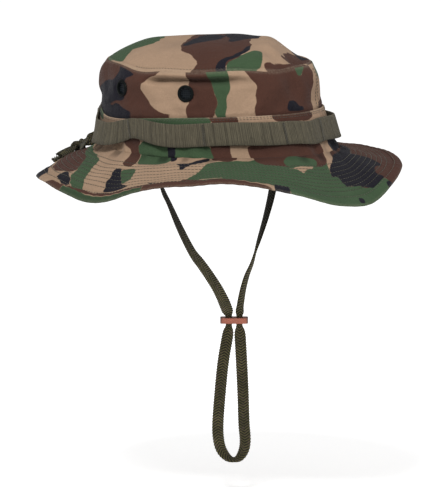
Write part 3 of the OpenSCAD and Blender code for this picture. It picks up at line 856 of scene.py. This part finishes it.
thread = thread_material("olive_thread", rgb(72, 68, 50), rgb(50, 48, 36))
tack_thread = thread_material("webbing_thread", rgb(70, 66, 52), rgb(50, 47, 38))
dark_thread = thread_material("dark_thread", rgb(58, 56, 40), rgb(34, 34, 26))


def brim_stitches(name, face):
    t = np.arange(196, 556.2, 0.4)
    lines = []
    for v in ROWS + [HEM_STITCH]:
        hem_row = v == HEM_STITCH
        if face > 0:
            h = (0.38 if hem_row else -0.5) + 0.05
        else:
            h = (-2.05 if hem_row else LOW_FACE + 0.5) - 0.05
        p, n = surface_line(brim, t, np.full(t.shape, v), h)
        if face * n[:, 2].mean() < 0:
            n = -n
        lines.append((p, n))
    return stitched(name, lines, thread, length=2.3, gap=0.8, radius=0.24)


brim_stitches("v_stitch_brim_top", 1)
brim_stitches("v_stitch_brim_bottom", -1)


def crown_stitches():
    lines = []
    t = np.arange(0, 360.2, 0.4)
    for z, d in ((35.0, 1.05), (33.6, 1.05)):
        p, n = surface_line(wall, t, z - (z - 1.2) * seam_drop(wrap(t)) / (BAND_Z - 1.2), d)
        lines.append((p, n))
    near = np.arange(40, 104, 0.4)
    p = dome(near, np.full(near.shape, 0.975), -0.05)
    out = np.stack([-sincos(near)[0], -sincos(near)[1], 0 * near + 1.2], -1)
    lines.append((p, out / np.linalg.norm(out, axis=1)[:, None]))
    for seam in (SEAM_T, SEAM_T + 180):
        for off in (-1.4, 1.4):
            z = np.arange(37, 70.5, 0.5)
            tt = np.full(z.shape, seam + off)
            q = wall(tt, z, 0.05)
            nr, nf = out_dir(tt)
            lines.append((q, np.stack([-nr, -nf, 0 * nr], -1)))
    fixed = []
    for p, n in lines:
        away = p - np.array([0, 5, 40])
        sign = np.sign((away * n).sum(1).mean())
        fixed.append((p, n * sign))
    return stitched("v_stitch_crown", fixed, dark_thread, length=2.0, gap=0.8, radius=0.2)


crown_stitches()


# ---------------------------------------------------------------- webbing
def stand_off(t):
    u = np.where(wrap(t) < TACKS[0], wrap(t) + 360, wrap(t))
    i = np.clip(np.searchsorted(TACKS, u, side="right") - 1, 0, len(STAND) - 1)
    lo, hi = np.array(TACKS)[i], np.array(TACKS)[i + 1]
    s = np.clip(((u - lo) / (hi - lo) - 0.1) / 0.8, 0, 1)
    return np.array(STAND)[i] * np.sin(math.pi * s) ** 1.2, np.array(SLANT)[i]


def web_point(t, q, d):
    """q runs 0 to 1 from the lower to the upper edge of the webbing."""
    gap, slant = stand_off(t)
    z0, width = 12.4, 18.2
    sag = 0.9 * crumple(t * 1.0, 20 + 0 * t) - 0.5
    u = wrap(t)
    lift = 2.2 * bump(u, 99, 7) * (1 - q) - 2.5 * bump(u, 80, 13) - 2.0 * bump(u, 2, 9) - 7.0 * band_drop(u)
    z = z0 + width * q + sag * 0.6 + lift
    s, c = sincos(t)
    k = soft_lookup(z, CROWN_K, 3.0)
    nr, nf = out_dir(t)
    wave = 0.35 * creases(t, 14 * q)
    off = 1.4 + d + gap * (1 + slant * (1 - 2 * q)) + wave * smooth(0, 2, gap)
    return np.stack(np.broadcast_arrays(-(CROWN_B * k * s + off * nr), -(CROWN_A * k * c + off * nf)
                                        + soft_lookup(z, CROWN_LEAN, 3.0), z), -1)


def webbing():
    ts = np.arange(0, 360, 0.25) + 196
    qs = np.array([0, 0.02, 0.06, 0.12, 0.25, 0.4, 0.55, 0.7, 0.88, 0.94, 0.98, 1.0])
    t, q = np.meshgrid(ts, qs, indexing="ij")
    arc = wrap(t) * WEB_ARC
    rib = 0.22 * np.sin(2 * math.pi * arc / 1.55)
    thin = -0.35 * (1 - smooth(0, 0.03, q) * smooth(0, 0.03, 1 - q))
    outer = web_point(t, q, 1.4 + rib + thin)
    inner = web_point(t, q, 0.0 - rib * 0.5 - thin)
    obj, used = grid_shell("v_webbing", outer, inner, wrapped=True)
    put(obj, used, along=arc, across=q * 19, rib=rib / 0.22)
    mat, tree, shader = material("olive_webbing", rough=0.8, sheen=0.06, specular=0.18)
    along, across = attribute(tree, "along"), attribute(tree, "across")
    row = number(tree, "SINE", times(tree, across, 2 * math.pi / 0.5))
    cell = scaled(tree, row, 0.25, scaled(tree, attribute(tree, "rib"), 0.35, 0.5))
    n = noise(tree, 60, 3, 0.6)
    streak = tree.nodes.new("ShaderNodeTexNoise")
    streak.noise_dimensions = "1D"
    streak.inputs["Scale"].default_value = 0.5
    streak.inputs["Detail"].default_value = 4
    tree.links.new(along, streak.inputs["W"])
    shading = scaled(tree, streak.outputs[0], 2.2, -0.6, True)
    # dark in the grooves between the ribs and rows of the weave: painted shade
    col = colour_mix(tree, scaled(tree, cell, 0.9, 0.05, True), rgb(34, 31, 25), rgb(96, 90, 73))
    col = colour_mix(tree, times(tree, shading, 0.55), col, rgb(104, 97, 79))
    # dark bands at places along the webbing: painted shadow of folds
    fold = tree.nodes.new("ShaderNodeTexNoise")
    fold.noise_dimensions = "1D"
    fold.inputs["Scale"].default_value = 0.28
    fold.inputs["Detail"].default_value = 3
    tree.links.new(along, fold.inputs["W"])
    dark = scaled(tree, fold.outputs[0], 5.0, -2.6, True)
    col = colour_mix(tree, times(tree, dark, 0.55), col, rgb(44, 41, 32))
    place = tree.nodes.new("ShaderNodeCombineXYZ")
    tree.links.new(times(tree, along, 0.55), place.inputs[0])
    tree.links.new(times(tree, across, 0.1), place.inputs[1])
    crinkle = noise(tree, 1.0, 3, 0.6, place.outputs[0])
    # dark and pale streaks along the crinkle: painted shade and painted highlight of crinkles
    crinkle_shadow = scaled(tree, crinkle, 6.0, -3.3, True)
    col = colour_mix(tree, times(tree, crinkle_shadow, 0.5), col, rgb(40, 37, 29))
    pale = scaled(tree, crinkle, -6.0, 2.6, True)
    col = colour_mix(tree, times(tree, pale, 0.5), col, rgb(112, 104, 86))
    # darker towards the lower edge: painted shade
    lower = scaled(tree, across, -0.12, 0.5, True)
    col = colour_mix(tree, lower, col, rgb(52, 49, 39))
    col = colour_mix(tree, times(tree, n, 0.35), col, rgb(60, 56, 46))
    feed(tree, shader, "Base Color", col)
    soft = bumped(tree, None, crinkle, 0.0016, 0.8, bumped(tree, None, noise(tree, 800, 2), 0.0002, 0.5))
    bumped(tree, shader, cell, 0.0004, 0.7, soft)
    finish_piece(obj, mat, ["webbing_band"])
    return obj


web = webbing()


def tack_stitches():
    """Each tack is a dense upright row of short crosswise threads."""
    points, faces = [], []
    for t0 in TACKS[:-1]:
        for k in range(22):
            q = 0.06 + 0.88 * k / 21
            lean = 1.6 * (0.5 - q) if t0 == -8 else (-2.0 * (0.5 - q) if t0 == 103 else 0)
            tt = t0 + lean + np.linspace(-1.1, 1.1, 9) * 0.75
            line = web_point(tt, np.full(tt.shape, q), 1.65)
            nr, nf = out_dir(tt)
            p, f = stitch_line(line, np.stack([-nr, -nf, 0 * nr], -1), length=2.3, gap=9, radius=0.26)
            shift = len(points)
            points += p
            faces += [tuple(i + shift for i in x) for x in f]
    obj = mesh_object("v_tacks", points, faces)
    turned_out(obj)
    return finish_piece(obj, tack_thread, ["webbing_tacks"])


tack_stitches()

# ---------------------------------------------------------------- cords
# Rows are x, y, z, the direction of the cord's width in plan and its tilt.
BACK_RIGHT = [(-80.8, 1.6, 1, 90, 0), (-81, 2.6, 3.6, 96, -28), (-80.6, 6.2, 5.4, 122, -60),
              (-80, 12, 5.5, 168, -70), (-78, 27, 5.5, 164, -70), (-73, 43.2, 5.5, 153, -70),
              (-65.8, 58, 5.5, 143, -70), (-56.6, 71, 5.4, 132, -70), (-50.4, 77, 5.2, 126, -74),
              (-45.2, 79.8, 5, 125, -82), (-40.8, 81, 4.9, 125, -86), (-37.6, 82.8, 4.9, 125, -88),
              (-37.2, 85.2, 5, 125, -86), (-39.4, 87, 5.4, 125, -82), (-42.8, 91, 6.5, 125, -78),
              (-45.2, 94.4, 7.2, 125, -80), (-47.8, 97.6, 5.6, 160, -84), (-48.4, 102, 2.6, 220, -76),
              (-45, 107.6, 0.4, 224, -70), (-40.6, 112.8, -0.4, 240, -60), (-37, 116.6, -0.4, 240, -60)]
BACK_LEFT = [(-x, y, z, 180 - angle, tilt) for x, y, z, angle, tilt in BACK_RIGHT[:16]] + [
    (45.8, 98.4, 7.4, 80, -84), (42.4, 101.8, 7.2, 220, -89), (34, 104.8, 6.8, 220, -90), (22, 107, 6.4, 220, -90),
    (8, 108.8, 6, 220, -90), (-6, 110.8, 5, 220, -84), (-19, 113.6, 3, 220, -74), (-30.4, 117.4, 0.8, 220, -62)]
TAIL_RIGHT = [(-35.6, 125, -1.6, 220, -60), (-39.4, 129.4, -5, 214, -58), (-43.6, 132.6, -8.4, 208, -55),
              (-48, 135.2, -11.8, 200, -50)]
TAIL_LEFT = [(-38.9, 121.4, -2.2, 250, -60), (-44, 122.6, -4.2, 250, -60), (-49.2, 123.2, -6.4, 256, -58),
             (-54.4, 123.2, -8.6, 262, -55)]
KNOT_AT = (-34, 120.5, -0.4)
CHIN_RIGHT = [(-80.8, 1.6, -1, 90, 0), (-80.6, 1.6, -6, 80, 0), (-78, 1.3, -16, 52, 0), (-72, 0.6, -29, 27, 0),
              (-65, 0, -40, 24, 0), (-51.4, 0, -61, 12, 0), (-35, 0, -83, 6, 0), (-23.4, 0, -94, 0, 0),
              (-12, 0, -105.4, -5, 0), (-2, 0, -116.4, -10, 0), (6.6, 0.6, -127, -22, 0), (13, 1.9, -135, -44, 0),
              (17.6, 3.2, -141.6, -52, 0), (18.3, 3.5, -145.8, -52, 0)]
CHIN_LEFT = [(80.8, 1.6, -1, 90, 0), (80.6, 1.6, -8, 88, 0), (78, 1.2, -26, 82, 0), (73, 0.6, -45, 76, 0),
             (64.4, 0, -64, 64, 0), (54.6, 0, -83, 50, 0), (49.7, 0, -92.3, 36, 0), (45, 0, -101.6, 24, 0),
             (38.3, 0, -111, 16, 0), (32.3, -1, -120.4, 12, 0), (27.3, -2.4, -130, 6, 0),
             (25.1, -3, -136, 0, 0), (23.9, -3.4, -141.8, -22, 0), (23.7, -3.5, -145.8, -52, 0)]
SLIDE_AT, SLIDE_DIR = (21, 0, -146), -52
LOOP_ROUTE = [(-4.4, -146.2, 0, 0), (-4.4, -151, 0, -4), (-5.2, -158, 0, -9), (-9, -181, 0, -7),
              (-11.6, -207, 0, -5), (-13.4, -232, 6, -2), (-13, -245, 16, 7), (-10.6, -254.5, 30, 22),
              (-5.6, -261, 60, 24), (-0.3, -263.2, 90, 12), (4.6, -261, 124, 22), (8.2, -254.5, 151, 15),
              (9.2, -246, 164, 0), (8.2, -232, 174, -3), (7.4, -207, 180, -2), (6.2, -181, 180, -3),
              (4.9, -158, 180, -3), (4.4, -151, 180, -2), (4.4, -146.2, 180, 0)]
SLIDE_C, SLIDE_S = math.cos(math.radians(SLIDE_DIR)), math.sin(math.radians(SLIDE_DIR))
LOOP = [(SLIDE_AT[0] + q[0] * SLIDE_C, SLIDE_AT[1] + q[0] * SLIDE_S, q[1], SLIDE_DIR + q[2], q[3])
        for q in LOOP_ROUTE]
CORD_W, CORD_T, BRAID_PITCH = 9.5, 2.0, 2.3
THROUGH = 14


def route_at(p, s):
    i = min(int(s), len(p) - 2)
    f = s - i
    a, b, c, d = (np.array(p[k], float) for k in (max(i - 1, 0), i, i + 1, min(i + 2, len(p) - 1)))
    return 0.5 * (2 * b + (c - a) * f + (2 * a - 5 * b + 4 * c - d) * f * f
                  + (3 * b - a - 3 * c + d) * f ** 3)


def dense(p, step=0.5):
    """Evenly spaced rows (x, y, z, angle, tilt, s) along a route."""
    s = np.linspace(0, len(p) - 1, 60 * (len(p) - 1) + 1)
    rows = np.array([[*route_at(p, x), x] for x in s])
    run = np.concatenate([[0], np.cumsum(np.linalg.norm(np.diff(rows[:, :3], axis=0), axis=1))])
    n = max(2, int(run[-1] / step))
    at = np.linspace(0, run[-1], n + 1)
    return np.array([[np.interp(x, run, rows[:, k]) for k in range(6)] for x in at]), at


def unit(v):
    return v / np.linalg.norm(v)


def braid_material():
    mat, tree, shader = material("flat_braid", rough=0.85, sheen=0.06, specular=0.15)
    along, across = attribute(tree, "along"), attribute(tree, "across")
    v_shape = scaled(tree, number(tree, "ABSOLUTE", across), -1.3, number(tree, "DIVIDE", along, BRAID_PITCH))
    strand = number(tree, "SINE", times(tree, v_shape, 2 * math.pi))
    split = number(tree, "SINE", times(tree, across, 4 * math.pi))
    raised = scaled(tree, strand, 0.75, scaled(tree, split, 0.12, 0.42), True)
    n = noise(tree, 90, 3, 0.6)
    # near-black between the raised strands: painted shade
    col = colour_mix(tree, raised, rgb(20, 19, 15), rgb(96, 90, 58))
    fleck = scaled(tree, noise(tree, 420, 2, 0.6), 5.0, -2.6, True)
    col = colour_mix(tree, times(tree, fleck, 0.6), col, rgb(96, 80, 76))
    col = colour_mix(tree, scaled(tree, n, 1.6, -0.5, True), col, rgb(34, 34, 22))
    # painted shade where the shade attribute is set
    col = colour_mix(tree, attribute(tree, "shade"), col, rgb(10, 10, 9))
    feed(tree, shader, "Base Color", col)
    first = bumped(tree, None, raised, 0.0005, 0.8)
    fibre = noise(tree, 1600, 2, 0.6)
    bumped(tree, shader, fibre, 0.0002, 0.6, bumped(tree, None, n, 0.0006, 0.4, first))
    return mat


braid = braid_material()
RIBS = 17


def braid_fields(obj, runs, sides, dim):
    for key, values in (("along", runs), ("across", sides), ("shade", dim)):
        obj.data.attributes.new(key, "FLOAT", "POINT").data.foreach_set("value", np.array(values, np.float32))


def braided(name, rows, at, widths, bunch=None, dim=None, frayed=False):
    """A flat braid swept along rows, with a herringbone face and scalloped edges."""
    across = np.linspace(-1, 1, RIBS)
    around = [(x, 1) for x in across] + [(x, -1) for x in across[::-1]]
    points, runs, sides, shades = [], [], [], []
    m = len(around)
    n = len(rows)
    loose = np.random.default_rng(len(name)).uniform(-1.4, 1.4, m)
    for i in range(n):
        a, b = rows[max(i - 1, 0), :3], rows[min(i + 1, n - 1), :3]
        run = unit(b - a)
        ang, tilt = np.radians(rows[i, 3]), np.radians(rows[i, 4])
        ask = np.array([math.cos(ang) * math.cos(tilt), math.sin(ang) * math.cos(tilt), math.sin(tilt)])
        side = unit(ask - run * np.dot(ask, run))
        up = np.cross(run, side)
        w, h = widths[i] / 2, CORD_T / 2 * (1 if bunch is None else bunch[i])
        for k, (x, face) in enumerate(around):
            lines = math.sin(2 * math.pi * (at[i] / BRAID_PITCH - abs(x) * 1.3))
            split = 0.5 + 0.5 * math.cos(math.pi * abs(x) * 4.0)
            edge = 1 + 0.05 * math.sin(2 * math.pi * at[i] / BRAID_PITCH) * (abs(x) > 0.99)
            body = math.sqrt(max(0.0, 1 - abs(x) ** 5)) * (h - 0.1) + 0.12
            crown = body + (0.13 * lines - 0.1 * split) * (1 - abs(x) ** 6)
            end = run * loose[k] if frayed and i == n - 1 else 0
            points.append(rows[i, :3] + side * x * w * edge + up * face * crown + end)
            runs.append(at[i])
            sides.append(x)
            shades.append(0 if dim is None else dim[i])
    faces = [(i * m + j, i * m + (j + 1) % m, (i + 1) * m + (j + 1) % m, (i + 1) * m + j)
             for i in range(n - 1) for j in range(m)]
    for base, flip in ((0, False), ((n - 1) * m, True)):
        for j in range(RIBS - 1):
            q = (base + j, base + j + 1, base + m - 2 - j, base + m - 1 - j)
            faces.append(tuple(reversed(q)) if not flip else q)
    obj = mesh_object(name, points, faces)
    braid_fields(obj, runs, sides, shades)
    turned_out(obj)
    obj.data.materials.append(braid)
    return obj


def width_along(rows, p, first, last, hold, hold_end=1.0, fade=2.0, fade_end=1.2):
    """Width narrowed near the ends, where the cord is squeezed through a hole."""
    s = rows[:, 5]
    n = len(p) - 1
    a = np.clip(1 - (s - hold) / fade, 0, 1)
    b = np.clip(1 - (n - s - hold_end) / fade_end, 0, 1)
    a, b = a * a * (3 - 2 * a), b * b * (3 - 2 * b)
    return CORD_W * (1 - (1 - first) * a - (1 - last) * b)


def strands():
    for name, p, node_name in (("v_strand_right", CHIN_RIGHT, "chin_strand_right"),
                               ("v_strand_left", CHIN_LEFT, "chin_strand_left")):
        rows, at = dense(p)
        widths = width_along(rows, p, 0.68, 0.55, 1, 0.7, 2.0, 1.0)
        widths = np.minimum(widths, 1.2 + 1.4 * np.abs(rows[:, 2]))
        # painted shadow of the brim over the top of each chin strand
        obj = braided(name, rows, at, widths, dim=0.8 * (1 - smooth(4, 7, rows[:, 5])))
        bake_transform(obj)
        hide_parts(node_name)
    rows, at = dense(LOOP)
    obj = braided("v_loop", rows, at, width_along(rows, LOOP, 0.55, 0.55, 0.8, 0.8, 1.4, 1.4))
    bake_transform(obj)
    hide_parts("chin_loop")


strands()


def ground(x, y):
    """Height of the brim's upper face under a place behind the crown."""
    t, v = np.meshgrid(np.arange(120, 241, 1.0), np.linspace(-0.016, 1.0, 60), indexing="ij")
    p = brim(t, v)
    return p[..., 2].reshape(-1)[np.argmin(np.hypot(p[..., 0] - x, p[..., 1] - y).reshape(-1))]


def knot():
    """An overhand knot of both cord ends, drawn as a rounded tube on a trefoil."""
    big, small, tube, turns, ring = 3.3, 1.7, 2.0, 160, 14
    s = np.linspace(0, 2 * math.pi, turns, endpoint=False)
    path = np.stack([(big + small * np.cos(3 * s)) * np.cos(2 * s),
                     (big + small * np.cos(3 * s)) * np.sin(2 * s),
                     small * np.sin(3 * s)], -1)
    points, runs, sides = [], [], []
    for i in range(turns):
        run = unit(path[(i + 1) % turns] - path[i - 1])
        side = unit(np.cross(run, path[i] * [1, 1, 0.2]))
        up = np.cross(run, side)
        for k in range(ring):
            a = 2 * math.pi * k / ring
            lines = math.sin(i * 0.9 + 2 * a)
            points.append(path[i] + (side * math.cos(a) + up * math.sin(a)) * (tube + 0.12 * lines))
            runs.append(i * 0.35)
            sides.append(math.cos(a))
    lean = math.radians(-32)
    points = np.array(points)
    spin = np.array([[1, 0, 0], [0, math.cos(lean), -math.sin(lean)], [0, math.sin(lean), math.cos(lean)]])
    points = points @ spin.T + np.array([*KNOT_AT[:2], ground(*KNOT_AT[:2]) + 4.2])
    faces = [(i * ring + k, i * ring + (k + 1) % ring, (i + 1) % turns * ring + (k + 1) % ring,
              (i + 1) % turns * ring + k) for i in range(turns) for k in range(ring)]
    obj = mesh_object("v_knot", points, faces)
    # painted shade over the whole knot
    braid_fields(obj, runs, sides, [0.3] * len(runs))
    turned_out(obj)
    return finish_piece(obj, braid, ["cord_knot"])


knot_piece = knot()


def back_cords():
    for name, p, tail, nodes in (
            ("v_cord_back_right", BACK_RIGHT, TAIL_RIGHT, ["cord_back_right", "cord_tail_right"]),
            ("v_cord_back_left", BACK_LEFT, TAIL_LEFT, ["cord_back_left", "cord_tail_left"])):
        whole = p + tail
        rows, at = dense(whole)
        s = rows[:, 5]
        lying = smooth(len(p) - 6.2, len(p) - 3.0, s)
        rows[:, 4] *= 1 - 0.72 * lying
        dip = 1.3 + CORD_W / 2 * np.abs(np.sin(np.radians(rows[:, 4]))) + 2.0 * bump(s, len(p) - 0.5, 0.7)
        floor = np.array([ground(x, y) if f > 0 else 0.0 for (x, y), f in zip(rows[:, :2], lying)])
        rows[:, 2] += (floor + dip - rows[:, 2]) * lying
        at = np.concatenate([[0], np.cumsum(np.linalg.norm(np.diff(rows[:, :3], axis=0), axis=1))])
        start = np.clip(1 - (s - 1) / 2, 0, 1)
        hole = np.clip(1 - (np.abs(s - THROUGH) - 1.5) / 2, 0, 1)
        near_knot = np.exp(-((s - (len(p) - 0.5)) / 0.85) ** 2)
        widths = CORD_W * (1 - 0.32 * start - 0.35 * hole - 0.5 * near_knot)
        widths = np.minimum(widths, 1.2 + 1.4 * np.maximum(rows[:, 2], 0) + 20 * (s > 4))
        plug = 1 + 2.1 * bump(s, THROUGH, 1.5)
        # painted shade over the whole back cords
        obj = braided(name, rows, at, widths, bunch=plug, dim=0.35 + 0 * s, frayed=True)
        finish_piece(obj, braid, nodes)


back_cords()

# ---------------------------------------------------------------- metal and leather, on the CAD shapes
def enamel():
    mat, tree, shader = material("black_enamel", rough=0.6, specular=0.05)
    n = noise(tree, 240, 4, 0.6)
    worn = scaled(tree, n, 5.0, -3.1, True)
    feed(tree, shader, "Base Color", colour_mix(tree, worn, (0.004, 0.005, 0.005), (0.035, 0.038, 0.03)))
    feed(tree, shader, "Roughness", scaled(tree, n, 0.3, 0.42))
    bumped(tree, shader, n, 0.0001, 0.3)
    return mat


def leather_mat():
    mat, tree, shader = material("tan_leather", rough=0.55, specular=0.4)
    n = noise(tree, 180, 4, 0.65)
    grain = noise(tree, 1500, 3, 0.6)
    col = colour_mix(tree, n, rgb(146, 80, 62), rgb(176, 104, 82))
    place = tree.nodes.new("ShaderNodeSeparateXYZ")
    tree.links.new(tree.nodes.new("ShaderNodeTexCoord").outputs["Object"], place.inputs[0])
    along = scaled(tree, place.outputs[0], SLIDE_C, -SLIDE_AT[0] * MM * SLIDE_C)
    along = number(tree, "ABSOLUTE", scaled(tree, place.outputs[1], SLIDE_S, along))
    worn_end = scaled(tree, along, 600.0, -5.6, True)
    col = colour_mix(tree, times(tree, worn_end, 0.75), col, rgb(62, 36, 32))
    col = colour_mix(tree, scaled(tree, grain, 1.5, -0.7, True), col, rgb(100, 52, 40))
    feed(tree, shader, "Base Color", col)
    feed(tree, shader, "Roughness", scaled(tree, n, 0.25, 0.42))
    bumped(tree, shader, grain, 0.0002, 0.5)
    return mat


def paint_nodes():
    black, leather = enamel(), leather_mat()
    mesh_black = flecked("screen_enamel", (0.002, 0.004, 0.006), (0.008, 0.012, 0.016), 500, 3, 0.0001, 0.4,
                         rough=0.5, specular=0.2)
    for name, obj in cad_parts.items():
        mat = None
        if name.startswith(("vent_eyelet", "vent_washer", "cord_eyelet", "cord_washer")):
            mat = black
        elif name.startswith("vent_screen"):
            mat = mesh_black
        elif name == "slider":
            mat = leather
        if mat is None:
            continue
        obj.data.materials.clear()
        obj.data.materials.append(mat)
        if name != "slider":
            continue
        bevel = obj.modifiers.new("edge", "BEVEL")
        bevel.width = 0.0008
        bevel.segments = 4
        bevel.limit_method = "ANGLE"
        bevel.angle_limit = math.radians(40)


paint_nodes()


def vent_shade_discs():
    """A near-black disc behind each vent's perforated screen: painted shade standing in for the dark inside of the
    crown.
    """
    mat = flecked("vent_shade_disc", (0.002, 0.002, 0.003), (0.012, 0.013, 0.016), 1200, 2, 0.0002, 0.6,
                  rough=0.95, specular=0.05)
    for name in ("rf", "rb", "lf", "lb"):
        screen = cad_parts["vent_screen_" + name]
        pts = np.array([screen.matrix_world @ v.co for v in screen.data.vertices]) / MM
        mid = pts.mean(0)
        inward = np.array([-mid[0], 5 - mid[1], 0]) * [1 / CROWN_B ** 2, 1 / CROWN_A ** 2, 1]
        inward /= np.linalg.norm(inward)
        side = np.cross(inward, [0, 0, 1])
        ring = [side * math.cos(a) * SHADE_DISC_R + np.array([0, 0, math.sin(a) * SHADE_DISC_R])
                for a in np.linspace(0, 2 * math.pi, SHADE_DISC_SIDES, endpoint=False)]
        points = [mid + inward * 0.6 + r for r in ring] + [mid + inward * 0.9 + r for r in ring]
        n = SHADE_DISC_SIDES
        faces = [tuple(range(n)), tuple(reversed(range(n, 2 * n)))]
        faces += [(k, n + k, n + (k + 1) % n, (k + 1) % n) for k in range(n)]
        obj = mesh_object("v_vent_shade_disc_" + name, points, faces, False)
        turned_out(obj)
        finish_piece(obj, mat)


vent_shade_discs()


# ---------------------------------------------------------------- stage
def stage():
    mesh = bpy.data.meshes.new("floor")
    corners = [(-20, -20, FLOOR_Z), (20, -20, FLOOR_Z), (20, 20, FLOOR_Z), (-20, 20, FLOOR_Z)]
    mesh.from_pydata(corners, [], [(0, 1, 2, 3)])
    floor = bpy.data.objects.new("floor", mesh)
    mat, tree, shader = material("pale_floor", rough=1.0, specular=0.0)
    shader.inputs["Base Color"].default_value = (0.95, 0.95, 0.95, 1)
    shader.inputs["Emission Color"].default_value = (1, 1, 1, 1)
    shader.inputs["Emission Strength"].default_value = 0.5
    mesh.materials.append(mat)
    bpy.context.scene.collection.objects.link(floor)
    world = bpy.data.worlds.new("studio")
    world.use_nodes = True
    back = world.node_tree.nodes["Background"]
    back.inputs["Color"].default_value = (1, 1, 1, 1)
    back.inputs["Strength"].default_value = 0.5
    bpy.context.scene.world = world
    a = math.radians(VIEW_AZ)
    right = Vector((math.cos(a), math.sin(a), 0))
    near = Vector((math.sin(a), -math.cos(a), 0))
    for name, place, size, power in (
            ("key", right * -0.35 + near * 1.4 + Vector((0, 0, 2.0)), 0.7, 50),
            ("fill", right * 1.6 + near * 1.4 + Vector((0, 0, 0.5)), 1.4, 7)):
        data = bpy.data.lights.new(name, "AREA")
        data.size = size
        data.energy = power
        lamp = bpy.data.objects.new(name, data)
        lamp.location = place
        lamp.rotation_mode = "QUATERNION"
        lamp.rotation_quaternion = (Vector((0, 0, 0.0)) - place).to_track_quat("-Z", "Y")
        bpy.context.scene.collection.objects.link(lamp)
    bpy.context.scene.view_settings.view_transform = "Standard"


stage()
